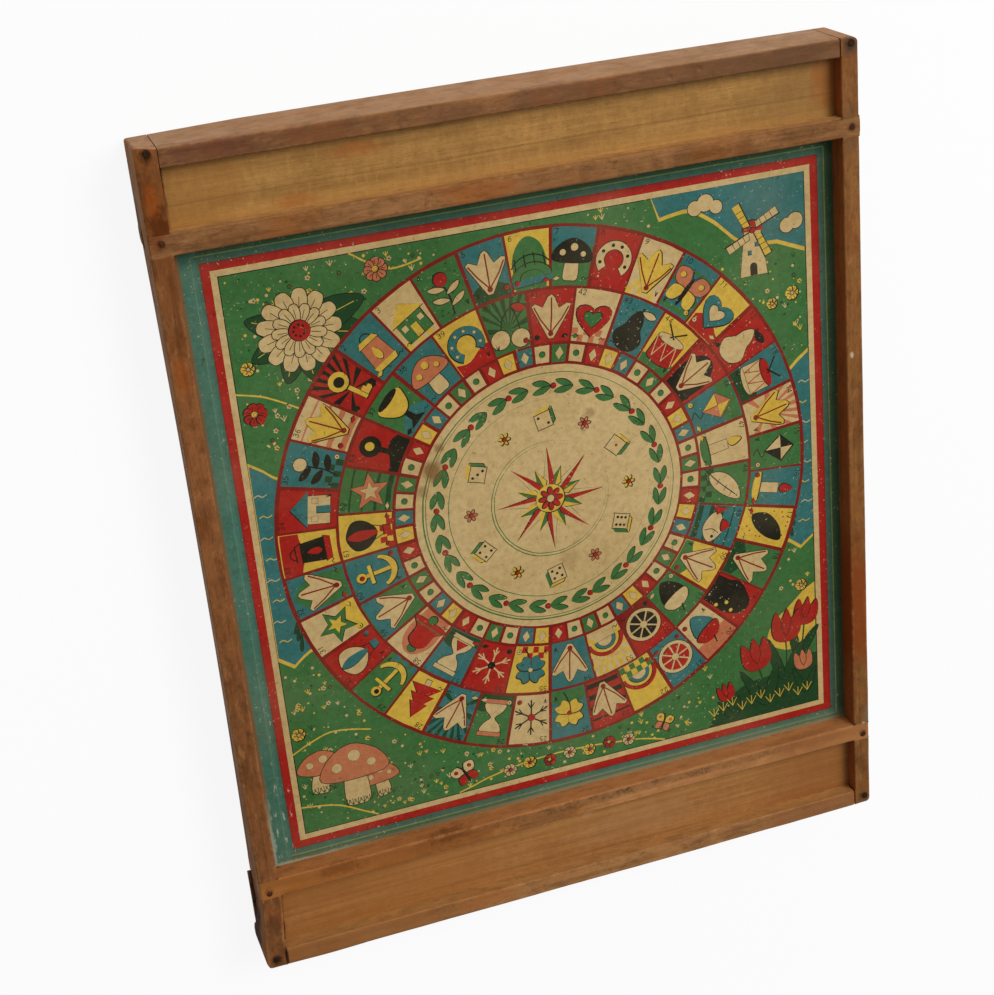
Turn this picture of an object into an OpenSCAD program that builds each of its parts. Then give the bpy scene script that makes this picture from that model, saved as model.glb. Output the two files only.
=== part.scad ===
// Old goose-game board. A nailed beech frame holds a printed board below its front face, with a
// shallow counter tray at each end. Behind each tray floor is a storage well, closed at the back
// by a bevelled lid that slides out to the left.
//
// X runs across the board, Y towards the top of the print, Z out of the printed face.
// The origin is the middle of the frame's back.

/* [Frame] */
// Width of the frame over the side rails
frame_w = 370; // [330:1:420]
// Height of the frame over the end rails
frame_h = 460; // [420:1:520]
// Thickness of the frame from back to front
frame_t = 32; // [30:0.5:38]
// Width of the left side rail's face
left_rail_w = 11; // [9.5:0.5:14]
// Width of the right side rail's face
right_rail_w = 9.5; // [9.5:0.5:14]
// Width of the end rails' faces
end_rail_w = 9.8; // [9.4:0.2:14]
// Width of the cross rails' faces
cross_rail_w = 10.8; // [9.6:0.2:14]
// Easing of the front edges, round the outside and round the three clear openings
edge_r = 0.9; // [0.4:0.1:1.6]
// Easing of the back edges round the outside
back_edge_r = 0.7; // [0.3:0.1:1.2]
// Worn rounding of the frame's outer corners
corner_r = 3.6; // [1:0.1:4]
// Rounding of the upper left corner, which is less worn
crisp_corner_r = 1.5; // [0.6:0.1:4]

/* [Board and trays] */
// Clear width of the upper tray, between its rails
upper_tray_w = 31; // [26:0.5:40]
// Clear width of the lower tray, between its rails
lower_tray_w = 35; // [26:0.5:40]
// Depth of the tray floors below the front face
tray_depth = 8.6; // [7.5:0.1:8.8]
// Thickness of a tray floor
tray_floor_t = 3; // [2:0.1:3.2]
// Depth of the print below the front face
board_depth = 12.3; // [12.2:0.1:14]
// Thickness of the board under the print
board_t = 5; // [3:0.1:6]
// Thickness of the printed sheet
print_t = 0.3; // [0.2:0.05:0.5]
// Depth of the grooves that hold the board and the tray floors
groove_d = 3; // [2:0.1:3.4]

/* [Joints] */
// Share of the frame's thickness left as the side rail's web between the two forks
bridle_web = 0.34; // [0.3:0.01:0.4]
// How far the upper cross rail's forks stand past the side rails
fork_proud = 1; // [0.2:0.1:1.5]
// Open joint at the left end of each end rail
shoulder_gap = 0.4; // [0.2:0.1:1]
// Open joint at their right ends, where the wood has shrunk more
wide_gap = 0.9; // [0.2:0.1:1.4]
// Length of an end rail's tenon
tenon_l = 7; // [5:0.5:8]
// Size of the tenon across the rail's face
tenon_w = 6; // [4:0.5:7]
// Size of the tenon through the frame's thickness
tenon_t = 11; // [8:0.5:12]

/* [Sliding lids] */
// Thickness of a lid
lid_t = 3.6; // [3:0.1:4.4]
// How far each long edge of a lid slopes out from its outer to its inner face
lid_bevel = 2.4; // [1.5:0.1:2.8]
// Play between a lid and its grooves
lid_play = 0.35; // [0.3:0.05:0.5]
// How far the lower lid stands past the left side rail when closed; the upper one is flush
lid_proud = 2; // [0:0.1:3]
// Length of the tongue on a lid's inner end
tongue_l = 2.4; // [1.5:0.1:3]
// Thickness of that tongue
tongue_t = 1.7; // [1.2:0.1:2.4]
// Radius of the thumb scoop in a lid's outer face
scoop_r = 9; // [6:0.5:12]
// Depth of the thumb scoop
scoop_d = 1.4; // [0.8:0.1:1.8]

/* [Nails] */
// Radius of a corner nail's head
head_r = 2.1; // [1.6:0.1:2.6]
// Radius of a cross rail nail's head
cross_head_r = 1.8; // [1.6:0.1:2.6]
// Height of a nail's head above the wood
head_h = 0.5; // [0.2:0.1:0.8]
// Radius of a nail's shank
shank_r = 0.9; // [0.6:0.1:1.2]
// Length of a nail's shank and point
nail_l = 25; // [20:1:27]
// Distance of the corner nails from the outer side faces
corner_nail_x = 5.2; // [4:0.1:6]
// Distance of the corner nails from the outer end faces
corner_nail_y = 4.4; // [4:0.1:6]
// Distance of the cross rails' nails from the outer side faces
cross_nail_x = 4.6; // [3.5:0.1:6]

/* [Hidden] */

half_w = frame_w / 2;
half_h = frame_h / 2;
left_in = -half_w + left_rail_w;
right_in = half_w - right_rail_w;
end_in = half_h - end_rail_w;

// Each cross rail is listed as its lower and upper edge
upper_cross = [end_in - upper_tray_w - cross_rail_w, end_in - upper_tray_w];
lower_cross = [-end_in + lower_tray_w, -end_in + lower_tray_w + cross_rail_w];

// The three clear openings between the rails, as their lower and upper edges
print_span = [lower_cross[1], upper_cross[0]];
upper_tray = [upper_cross[1], end_in];
lower_tray = [-end_in, lower_cross[0]];

print_face = frame_t - board_depth;
board_face = print_face - print_t;
board_back = board_face - board_t;
tray_face = frame_t - tray_depth;
tray_back = tray_face - tray_floor_t;

web_lo = frame_t * (1 - bridle_web) / 2;
web_hi = frame_t - web_lo;
tenon_z = (web_lo + web_hi) / 2 - tenon_t / 2 - 2.5;
tenon_in = 2;

// The lids sit a hair inside the back face, so that the frame rests on its rails
lid_out = 0.3;
lid_in = lid_out + lid_t;
lid_right = right_in - lid_play;
tongue_side = 1.2;
lip_slope = lid_bevel / lid_t;

past = 1;
round_fn = 48;

module block(lo, hi) {
    translate(lo) cube(hi - lo);
}

// What is taken off a square corner at [x, y] to round it; the part lies towards [sx, sy]
module corner_waste(x, y, sx, sy, r) {
    difference() {
        translate([min(x, x + sx * r) - (sx > 0 ? past : 0), min(y, y + sy * r) - (sy > 0 ? past : 0)])
            square([r + past, r + past]);
        translate([x + sx * r, y + sy * r]) circle(r = r, $fn = round_fn);
    }
}

// Turns a section drawn in [Y, Z] into a bar that runs along X
module along_x(x0, x1) {
    translate([x0, 0, 0]) rotate([90, 0, 90]) linear_extrude(height = x1 - x0) children();
}

// Turns a section drawn in [X, Z] into a bar that runs along Y
module along_y(y0, y1) {
    translate([0, y1, 0]) rotate([90, 0, 0]) linear_extrude(height = y1 - y0) children();
}

// What is eased off the front edges round a clear opening, once the frame is together
module opening_arris(span) {
    along_y(span[0], span[1]) {
        corner_waste(left_in, frame_t, -1, -1, edge_r);
        corner_waste(right_in, frame_t, 1, -1, edge_r);
    }
    along_x(left_in, right_in) {
        corner_waste(span[0], frame_t, -1, -1, edge_r);
        corner_waste(span[1], frame_t, 1, -1, edge_r);
    }
}

module all_opening_arrises() {
    for (span = [print_span, upper_tray, lower_tray]) opening_arris(span);
}

// What is eased off the long edges of the frame's outer faces, front and back
module outer_arris() {
    for (side = [-1, 1]) {
        along_y(-half_h - past, half_h + past) {
            corner_waste(side * half_w, frame_t, -side, -1, edge_r);
            corner_waste(side * half_w, 0, -side, 1, back_edge_r);
        }
        along_x(-half_w - past, half_w + past) {
            corner_waste(side * half_h, frame_t, -side, -1, edge_r);
            corner_waste(side * half_h, 0, -side, 1, back_edge_r);
        }
    }
}

// What is worn off the frame's outer corners on one side
module outer_corners(side) {
    function worn_r(end) = side < 0 && end > 0 ? crisp_corner_r : corner_r;
    for (end = [-1, 1])
        translate([0, 0, -past]) linear_extrude(height = frame_t + 2 * past)
            corner_waste(side * half_w, end * half_h, -side, -end, worn_r(end));
}

// The bevelled section of a lid over the span of a tray. grow is the play round it, and a
// groove's section runs on past the back face
module lid_section(span, grow, z0, z1) {
    function flare(z) = lip_slope * (z - lid_out) + grow;
    polygon([
        [span[0] - flare(z0), z0], [span[1] + flare(z0), z0],
        [span[1] + flare(z1), z1], [span[0] - flare(z1), z1]
    ]);
}

// The way that a lid slides in: an undercut groove, open to the left, with a shallow
// pocket for the tongue in the right side rail
module lid_way(span) {
    along_x(-half_w - fork_proud - past, right_in)
        lid_section(span, lid_play, -past, lid_in + lid_play);
    block(
        [right_in - past, span[0] + tongue_side - lid_play, lid_in - tongue_t - lid_play],
        [right_in + tongue_l + lid_play, span[1] - tongue_side + lid_play, lid_in + lid_play]
    );
}

// The space of the grooves round a panel that fills the clear span between the rails
module panel_way(span, z0, z1) {
    block([left_in - groove_d, span[0] - groove_d, z0], [right_in + groove_d, span[1] + groove_d, z1]);
}

module all_ways() {
    panel_way(print_span, board_back, print_face);
    panel_way(upper_tray, tray_back, tray_face);
    panel_way(lower_tray, tray_back, tray_face);
    lid_way(upper_tray);
    lid_way(lower_tray);
}

// A plate that reaches into the grooves on all four sides, but for a little play at its edges
module panel(span, z0, z1) {
    reach = groove_d - 0.3;
    block([left_in - reach, span[0] - reach, z0], [right_in + reach, span[1] + reach, z1]);
}

function nail_side(x_in) = [-half_w + x_in, half_w - x_in];
corner_nail_spots = [
    for (x = nail_side(corner_nail_x), y = [-half_h + corner_nail_y, half_h - corner_nail_y]) [x, y]
];
cross_nail_spots = [
    for (x = nail_side(cross_nail_x), c = [lower_cross, upper_cross]) [x, (c[0] + c[1]) / 2]
];

// A clenching nail: domed head on the wood, straight shank, drawn point. Its tip is a small flat
module nail(r) {
    point_l = 3;
    rotate_extrude($fn = round_fn)
        polygon([
            [0, -nail_l], [0.2, -nail_l], [shank_r, -nail_l + point_l], [shank_r, 0],
            [r, 0], [r, head_h * 0.45], [r * 0.72, head_h * 0.85],
            [r * 0.3, head_h], [0, head_h]
        ]);
}

module nails(spots, r) {
    for (s = spots) translate([s[0], s[1], frame_t]) nail(r);
}

module nail_holes(spots) {
    for (s = spots)
        translate([s[0], s[1], frame_t - nail_l]) cylinder(r = shank_r, h = nail_l + past, $fn = round_fn);
}

// The tenon at one end of an end rail, or its mortise, which is a little deeper
module tenon(side, top, extra = 0) {
    x0 = side < 0 ? left_in - tenon_l - extra : right_in - wide_gap - past;
    x1 = side < 0 ? left_in + shoulder_gap + past : right_in + tenon_l + extra;
    y0 = top ? half_h - tenon_in - tenon_w : -half_h + tenon_in;
    block([x0, y0, tenon_z], [x1, y0 + tenon_w, tenon_z + tenon_t]);
}

// A side rail runs the full height. Front and back it is notched for the cross rails' forks
module side_rail(side) {
    x0 = side < 0 ? -half_w : right_in;
    x1 = side < 0 ? left_in : half_w;
    difference() {
        block([x0, -half_h, 0], [x1, half_h, frame_t]);
        for (c = [lower_cross, upper_cross]) {
            block([x0 - past, c[0], web_hi], [x1 + past, c[1], frame_t + past]);
            block([x0 - past, c[0], -past], [x1 + past, c[1], web_lo]);
        }
        for (top = [false, true]) tenon(side, top, 0.5);
        all_ways();
        nail_holes(corner_nail_spots);
        nail_holes(cross_nail_spots);
        all_opening_arrises();
        outer_arris();
        outer_corners(side);
    }
}

// An end rail stands between the side rails on its tenons
module end_rail(top) {
    y0 = top ? end_in : -half_h;
    y1 = top ? half_h : -end_in;
    difference() {
        union() {
            block([left_in + shoulder_gap, y0, 0], [right_in - wide_gap, y1, frame_t]);
            for (side = [-1, 1]) tenon(side, top);
        }
        all_ways();
        nail_holes(corner_nail_spots);
        all_opening_arrises();
        outer_arris();
    }
}

// A cross rail is forked at both ends, and the forks embrace the side rails' webs. The front
// left fork is always planed flush
module cross_rail(c, proud) {
    fork_end = half_w + proud;
    difference() {
        block([-fork_end, c[0], 0], [fork_end, c[1], frame_t]);
        block([-fork_end - past, c[0] - past, web_lo], [left_in, c[1] + past, web_hi]);
        block([right_in, c[0] - past, web_lo], [fork_end + past, c[1] + past, web_hi]);
        block([-fork_end - past, c[0] - past, web_hi - past], [-half_w, c[1] + past, frame_t + past]);
        all_ways();
        nail_holes(cross_nail_spots);
        all_opening_arrises();
        along_y(c[0] - past, c[1] + past) {
            corner_waste(-half_w, frame_t, 1, -1, edge_r);
            corner_waste(fork_end, frame_t, -1, -1, edge_r);
        }
    }
}

// A lid has sloping long edges, a tongue at its inner end and a thumb scoop near its outer end
module storage_lid(span, proud) {
    mid = (span[0] + span[1]) / 2;
    lid_left = -half_w - proud;
    scoop_x = lid_left + 16;
    scoop_ball = (scoop_r * scoop_r + scoop_d * scoop_d) / (2 * scoop_d);
    difference() {
        union() {
            along_x(lid_left, lid_right) lid_section(span, 0, lid_out, lid_in);
            block(
                [lid_right - past, span[0] + tongue_side, lid_in - tongue_t],
                [right_in + tongue_l, span[1] - tongue_side, lid_in]
            );
        }
        translate([scoop_x, mid, lid_out + scoop_d - scoop_ball]) sphere(r = scoop_ball, $fn = round_fn);
    }
}

module left_side_rail() {
    color([0.55, 0.36, 0.21]) side_rail(-1);
}

module right_side_rail() {
    color([0.57, 0.36, 0.20]) side_rail(1);
}

module top_end_rail() {
    color([0.58, 0.38, 0.24]) end_rail(true);
}

module bottom_end_rail() {
    color([0.54, 0.36, 0.20]) end_rail(false);
}

module upper_cross_rail() {
    color([0.60, 0.39, 0.23]) cross_rail(upper_cross, fork_proud);
}

module lower_cross_rail() {
    color([0.62, 0.40, 0.23]) cross_rail(lower_cross, 0);
}

module game_board() {
    color([0.47, 0.35, 0.22]) panel(print_span, board_back, board_face);
}

module printed_sheet() {
    color([0.28, 0.50, 0.46]) panel(print_span, board_face, print_face);
}

module upper_tray_floor() {
    color([0.72, 0.53, 0.28]) panel(upper_tray, tray_back, tray_face);
}

module lower_tray_floor() {
    color([0.66, 0.44, 0.21]) panel(lower_tray, tray_back, tray_face);
}

module upper_storage_lid() {
    color([0.40, 0.25, 0.16]) storage_lid(upper_tray, 0);
}

module lower_storage_lid() {
    color([0.38, 0.23, 0.15]) storage_lid(lower_tray, lid_proud);
}

module corner_nails() {
    color([0.17, 0.12, 0.10]) nails(corner_nail_spots, head_r);
}

module cross_rail_nails() {
    color([0.17, 0.12, 0.10]) nails(cross_nail_spots, cross_head_r);
}

left_side_rail();
right_side_rail();
top_end_rail();
bottom_end_rail();
upper_cross_rail();
lower_cross_rail();
game_board();
printed_sheet();
upper_tray_floor();
lower_tray_floor();
upper_storage_lid();
lower_storage_lid();
corner_nails();
cross_rail_nails();
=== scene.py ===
import math
import random

import bmesh
import bpy
from mathutils import Matrix, Vector, noise
from mathutils.geometry import delaunay_2d_cdt


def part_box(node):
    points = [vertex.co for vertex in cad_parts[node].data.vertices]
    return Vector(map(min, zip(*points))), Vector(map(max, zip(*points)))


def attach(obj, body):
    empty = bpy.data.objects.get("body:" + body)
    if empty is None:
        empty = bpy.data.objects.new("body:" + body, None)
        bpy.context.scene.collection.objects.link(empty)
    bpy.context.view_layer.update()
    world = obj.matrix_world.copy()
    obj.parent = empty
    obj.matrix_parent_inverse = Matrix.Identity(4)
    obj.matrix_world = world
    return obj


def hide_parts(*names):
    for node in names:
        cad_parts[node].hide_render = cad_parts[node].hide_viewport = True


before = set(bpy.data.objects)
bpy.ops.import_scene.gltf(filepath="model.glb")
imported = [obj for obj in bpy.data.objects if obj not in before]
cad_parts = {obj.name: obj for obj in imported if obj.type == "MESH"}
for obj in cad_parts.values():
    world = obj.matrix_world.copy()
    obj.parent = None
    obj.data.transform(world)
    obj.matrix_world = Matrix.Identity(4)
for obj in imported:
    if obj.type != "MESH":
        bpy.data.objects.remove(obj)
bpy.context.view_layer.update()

MM = 0.001

# Camera, from the photograph: where it stands, the point of the table that it looks at, its roll
# from the board's own up, and the photograph's frame in pixels
PHOTO_W = 994
CAMERA_AT = Vector((-0.2704, 0.4120, 0.8793))
CAMERA_LOOKS_AT = Vector((-0.0161, 0.0241, 0.0))
CAMERA_ROLL = math.radians(5.71)
FOCAL_PX = 1843.9
SENSOR_MM = 36.0
CENTRE_X_PX, CENTRE_Y_PX = 3.9, -31.8

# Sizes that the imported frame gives, in metres
LEFT_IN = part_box("left_side_rail")[1][0]
RIGHT_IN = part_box("right_side_rail")[0][0]
LOW_CROSS, UP_CROSS = ([corner[1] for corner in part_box(n + "_cross_rail")] for n in ("lower", "upper"))
END_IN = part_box("top_end_rail")[0][1]
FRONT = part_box("left_side_rail")[1][2]
PRINT_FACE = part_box("printed_sheet")[1][2]
HALF_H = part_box("left_side_rail")[1][1]
HALF_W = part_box("right_side_rail")[1][0]


def srgb(r, g, b):
    """Linear colour of a screen colour written as 0 to 255."""
    return tuple(((c / 255 + 0.055) / 1.055) ** 2.4 if c > 10 else c / 255 / 12.92 for c in (r, g, b))


def rgba(colour, alpha=1.0):
    return (*colour, alpha)


# Curves and outlines, in millimetres on the printed sheet


def around(r, angle, x=0.0, y=0.0, squash=1.0):
    """The point at a distance and an angle, in radians, from a middle."""
    return (x + r * math.cos(angle), y + r * squash * math.sin(angle))


def turned(points, angle, x=0.0, y=0.0):
    """Points turned about the origin, then moved."""
    c, s = math.cos(angle), math.sin(angle)
    return [(x + c * u - s * v, y + s * u + c * v) for u, v in points]


def circle(x, y, r, n=20, squash=1.0, turn=0.0):
    """Points of an ellipse: r along its own X, r times squash across."""
    return turned([around(r, 2 * math.pi * i / n, squash=squash) for i in range(n)], turn, x, y)


def arc(x, y, r, a0, a1, n=12, squash=1.0):
    """Points from angle a0 to a1, in degrees."""
    return [around(r, math.radians(a0 + (a1 - a0) * i / n), x, y, squash) for i in range(n + 1)]


def rect(x0, x1, y0, y1):
    return [(x0, y0), (x1, y0), (x1, y1), (x0, y1)]


def both(*half):
    """A symmetric outline from the points of its right half."""
    return [*half, *((-x, y) for x, y in reversed(half) if x)]


def between(p0, p1, p2, p3, t):
    """A Catmull-Rom point between p1 and p2."""
    a = [2 * p1[k] for k in (0, 1)]
    b = [p2[k] - p0[k] for k in (0, 1)]
    c = [2 * p0[k] - 5 * p1[k] + 4 * p2[k] - p3[k] for k in (0, 1)]
    d = [3 * p1[k] - p0[k] - 3 * p2[k] + p3[k] for k in (0, 1)]
    return tuple(0.5 * (a[k] + b[k] * t + c[k] * t * t + d[k] * t ** 3) for k in (0, 1))


def smooth(points, steps=5):
    """A closed curve through the points."""
    n = len(points)
    fours = [[points[(i + k) % n] for k in (-1, 0, 1, 2)] for i in range(n)]
    return [between(*four, s / steps) for four in fours for s in range(steps)]


def smooth_open(points, steps=5):
    """An open curve through the points."""
    ends = [points[0], *points, points[-1]]
    made = [between(*ends[i : i + 4], s / steps) for i in range(len(points) - 1) for s in range(steps)]
    return [*made, points[-1]]


def grown(points, by):
    """An outline moved outwards by a distance."""
    n = len(points)
    area = sum(points[i - 1][0] * points[i][1] - points[i][0] * points[i - 1][1] for i in range(n))
    way = 1 if area > 0 else -1
    made = []
    for i in range(n):
        before, here, after = points[i - 1], points[i], points[(i + 1) % n]
        out = Vector((0, 0))
        for p, q in ((before, here), (here, after)):
            side = Vector((q[1] - p[1], p[0] - q[0]))
            if side.length > 1e-9:
                out += side.normalized() * way
        if out.length > 1e-9:
            out.normalize()
        made.append((here[0] + out.x * by, here[1] + out.y * by))
    return made


# Inks of the print, as they look now
INKS = {
    "margin_green": srgb(64, 92, 66),
    "margin_blue": srgb(66, 98, 84),
    "fine_line": srgb(122, 136, 74),
    "red": srgb(162, 30, 20),
    "line_red": srgb(122, 27, 15),
    "cream": srgb(196, 168, 116),
    "black": srgb(31, 27, 14),
    "green": srgb(58, 106, 54),
    "dark_green": srgb(30, 66, 32),
    "blue": srgb(50, 106, 104),
    "yellow": srgb(204, 168, 62),
    "pink": srgb(184, 108, 72),
    "paper": srgb(206, 186, 142),
}

# How far each colour's plate sat from the black one on the press, in millimetres
PLATE_SLIP = {"red": (0.32, -0.2), "yellow": (-0.26, 0.2), "blue": (0.16, 0.28), "green": (-0.2, -0.16)}
OUTLINE = 0.45

# How far the drawing hand strays, in millimetres, and how often, per millimetre
STRAY, STRAY_PITCH = 0.3, 0.12
# The stray's seed, without which Blender takes it from the clock
noise.seed_set(21)


def wound(points):
    """The outline counter-clockwise from its lowest point, so that its fill never leaks out."""
    n = len(points)
    k = min(range(n), key=lambda i: (points[i][1], points[i][0]))
    before, here, after = points[k - 1], points[k], points[(k + 1) % n]
    turn = (here[0] - before[0]) * (after[1] - here[1]) - (here[1] - before[1]) * (after[0] - here[0])
    ordered = points[k:] + points[:k]
    return ordered if turn > 0 else ordered[:1] + ordered[:0:-1]


def by_hand(x, y):
    """A point of the drawing where an unsteady hand puts it."""
    stray = noise.noise_vector(Vector((x, y, 3.1)) * STRAY_PITCH) * STRAY
    return (x + stray.x, y + stray.y)


class Sheet:
    """Shapes of ink on the printed sheet, each over the ones before it."""

    def __init__(self):
        self.layers = []

    def add(self, ink, points):
        dx, dy = PLATE_SLIP.get(ink, (0.0, 0.0))
        self.layers.append((ink, wound([by_hand(x + dx, y + dy) for x, y in points])))

    def box(self, ink, x0, x1, y0, y1):
        self.layers.append((ink, rect(x0, x1, y0, y1)))


class Pen:
    """Draws in a patch of the sheet that is moved, turned and scaled."""

    def __init__(self, sheet, x, y, turn=0.0, scale=1.0):
        self.sheet, self.at, self.turn, self.scale = sheet, (x, y), turn, scale

    def place(self, points):
        return turned([(u * self.scale, v * self.scale) for u, v in points], self.turn, *self.at)

    def fill(self, points, ink, line=OUTLINE):
        spots = self.place(points)
        if line:
            self.sheet.add("black", grown(spots, line))
        self.sheet.add(ink, spots)

    def blob(self, points, ink, steps=4, line=OUTLINE):
        """Fills the closed curve through the points."""
        self.fill(smooth(points, steps), ink, line)

    def dot(self, x, y, r, ink, line=OUTLINE, n=14, squash=1.0, turn=0.0):
        self.fill(circle(x, y, r, n, squash, turn), ink, line)

    def stroke(self, points, width=0.7, ink="black"):
        """A line of short overlapping strips, so that it may cross itself."""
        spots = [Vector(p) for p in self.place(points)]
        for a, b in zip(spots, spots[1:]):
            along = b - a
            if along.length < 1e-6:
                continue
            along.normalize()
            side = Vector((-along.y, along.x)) * width / 2
            end = along * width * 0.3
            corners = (a - end - side, b + end - side, b + end + side, a - end + side)
            self.sheet.add(ink, [tuple(c) for c in corners])

    def sweep(self, points, width=0.7, ink="black", steps=4):
        """Draws the open curve through the points."""
        self.stroke(smooth_open(points, steps), width, ink)


# Plain numbers, in a box 4 wide and 6 high


def ring_halves(x, y, r, squash):
    return [arc(x, y, r, 90, 270, 7, squash), arc(x, y, r, 270, 450, 7, squash)]


SIX = smooth_open([
    (3.2, 5.5), (1.4, 4.8), (0.6, 2.6), (0.8, 1.0), (2, 0.3), (3.4, 1.3), (3.2, 2.8), (1.9, 3.4), (0.7, 2.4),
], 2)
TWO = smooth_open([(0.5, 4.4), (1.2, 5.6), (2.8, 5.6), (3.4, 4.3), (2.6, 2.8), (0.5, 0.4)], 2)
DIGITS = {
    "0": ring_halves(2, 3, 1.6, 1.7),
    "1": [[(1.2, 4.8), (2.2, 5.7), (2.2, 0.3)]],
    "2": [[*TWO, (3.6, 0.4)]],
    "3": [
        smooth_open([(0.6, 5.2), (2, 5.8), (3.3, 4.9), (3.0, 3.6), (1.6, 3.1)], 2),
        smooth_open([(1.6, 3.1), (3.2, 2.7), (3.5, 1.3), (2, 0.2), (0.5, 0.9)], 2),
    ],
    "4": [[(2.9, 0.3), (2.9, 5.7), (0.4, 2.0), (3.8, 2.0)]],
    "5": [
        [(3.3, 5.6), (1.0, 5.6), (0.8, 3.3)],
        smooth_open([(0.8, 3.3), (2.2, 3.7), (3.5, 2.5), (3.1, 0.8), (1.6, 0.2), (0.5, 0.9)], 2),
    ],
    "6": [SIX],
    "7": [[(0.5, 5.6), (3.5, 5.6), (1.6, 0.3)]],
    "8": ring_halves(2, 4.4, 1.25, 1.0) + ring_halves(2, 1.6, 1.55, 0.95),
    "9": [[(4 - x, 6 - y) for x, y in SIX]],
}
DIGIT_SCALE, DIGIT_PITCH, DIGIT_LINE = 0.52, 4.6, 0.36


def write_number(pen, value, x, y):
    for k, digit in enumerate(str(value)):
        for line in DIGITS[digit]:
            spots = [(x + (u + k * DIGIT_PITCH) * DIGIT_SCALE, y + v * DIGIT_SCALE) for u, v in line]
            pen.stroke(spots, DIGIT_LINE)


# Small figures for the cells. Each is drawn about the middle of its cell, within 9 mm to each
# side and 10 mm up and down, in a main colour a and a second colour b


def star(pen, a, b):
    for radii, ink, line in (((9, 4), a, OUTLINE), ((4.6, 2), b, 0.2)):
        pen.fill([around(radii[i % 2], math.pi / 2 - i * math.pi / 5) for i in range(10)], ink, line)


def daisy(pen, a, b, petals=9, r=8.5):
    for i in range(petals):
        angle = 2 * math.pi * i / petals
        pen.dot(*around(r * 0.62, angle), r * 0.38, a, n=12, squash=0.52, turn=angle)
    pen.dot(0, 0, r * 0.3, b)


def heart(pen, a, b):
    turns = [2 * math.pi * i / 26 for i in range(26)]
    for size, ink in ((0.52, a), (0.26, b)):
        heights = [13 * math.cos(t) - 5 * math.cos(2 * t) - 2 * math.cos(3 * t) for t in turns]
        pen.fill([(size * 16 * math.sin(t) ** 3, size * height) for t, height in zip(turns, heights)], ink)


def moon(pen, a, b):
    pen.fill(arc(0, 0, 8.5, 50, 310, 18) + arc(4.6, 0, 6.6, 285, 75, 14), a)
    for x, y in ((5, 5), (6.5, -3.5), (3, 0.5)):
        pen.dot(x, y, 1.0, b, 0.2, 8)


def sprig(pen, a, b):
    pen.sweep([(-1, -10), (0.5, -3), (0, 5)], 0.8)
    for y, side in ((-6, 1), (-3.5, -1), (-0.5, 1), (2, -1)):
        pen.blob([(side * u, y + v) for u, v in ((0, 0), (3, 2.6), (7, 3), (4.6, 0.4))], a, 3)
    pen.dot(0, 7, 3.0, b)


def mushroom(pen, a, b):
    pen.blob(both((2.4, 0), (3.2, -8.5), (0, -9.6)), "cream")
    pen.blob(both((0, 8.6), (6.5, 5.5), (9, -0.5), (0, -1.8)), a)
    for x, y, r in ((-4.5, 2.5, 1.4), (0.5, 5, 1.7), (4.8, 2, 1.2)):
        pen.dot(x, y, r, b, 0.15, 10)


def cherries(pen, a, b):
    pen.sweep([(-4, -3), (-2, 4), (2.5, 9)])
    pen.sweep([(5, -4), (4.5, 3), (2.5, 9)])
    pen.blob([(2.5, 9), (6, 9.6), (9, 7), (5.5, 6)], b)
    pen.dot(-4.2, -5, 4.3, a)
    pen.dot(4.8, -6, 4.1, a)


def apple(pen, a, b):
    pen.stroke([(0, 4), (0.8, 9)], 0.8)
    pen.blob([(0.8, 7.5), (4.5, 9.8), (7.5, 8), (4, 6.2)], b, 3)
    pen.blob(both((0, 5), (5, 7), (8.4, 2.5), (6.6, -5.5), (2.4, -9), (0, -8)), a, 3)


def pear(pen, a, b):
    pen.stroke([(0, 7), (1.2, 10.4)], 0.8)
    pen.blob(both((0, 8.6), (3, 5), (4, 0.5), (7, -4.5), (3.6, -9.6)), a, 3)
    pen.blob([(1, 8.6), (5, 10), (8, 8.4), (4.6, 6.8)], b, 3)


def butterfly(pen, a, b):
    for side in (-1, 1):
        pen.blob([(side * x, y) for x, y in ((0.6, 1), (3, 8.4), (9, 7.2), (7.6, 1.4))], a)
        pen.blob([(side * x, y) for x, y in ((0.6, 0), (6.4, -0.6), (6.8, -6.6), (2.6, -6.4))], b)
        pen.stroke([(0, 5), (side * 2.6, 9.6)], 0.45)
        pen.dot(side * 5.6, 5, 1.3, b, 0.2, 10)
    pen.blob(both((0, 6.4), (1.1, 2), (0.7, -7)), "black", 3, 0)


def fish(pen, a, b):
    pen.blob([(9, 0), (3, 5), (-4, 3), (-6, 0), (-4, -3), (3, -5)], a)
    pen.fill([(-5, 0), (-9.5, 4.6), (-8.4, 0), (-9.5, -4.6)], b)
    pen.blob([(2.5, 4.6), (-1, 8), (-3, 3.4)], b, 3)
    pen.sweep([(3.6, 3.6), (2.4, 0), (3.6, -3.6)], 0.5, steps=3)
    pen.dot(6, 1, 0.8, "black", 0, 8)


def bell(pen, a, b):
    pen.dot(0, 7.6, 2.0, b)
    pen.blob(both((0, 7), (4.6, 4.4), (5.2, -2), (8.4, -6.4)), a)
    pen.stroke([(-7, -4.4), (7, -4.4)], 0.6, b)
    pen.dot(0, -8.2, 2.0, b)


def key(pen, a, b):
    pen.fill(rect(-1, 1, -9.6, 2), a)
    pen.fill([(1, -9.4), (5, -9.4), (5, -7), (3.4, -7), (3.4, -5.6), (1, -5.6)], a)
    pen.dot(0, 5, 4.6, a)
    pen.dot(0, 5, 2.1, b)


SCALLOP = [around(1, t) for t in (0.0, 1.57, 3.1)]


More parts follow.
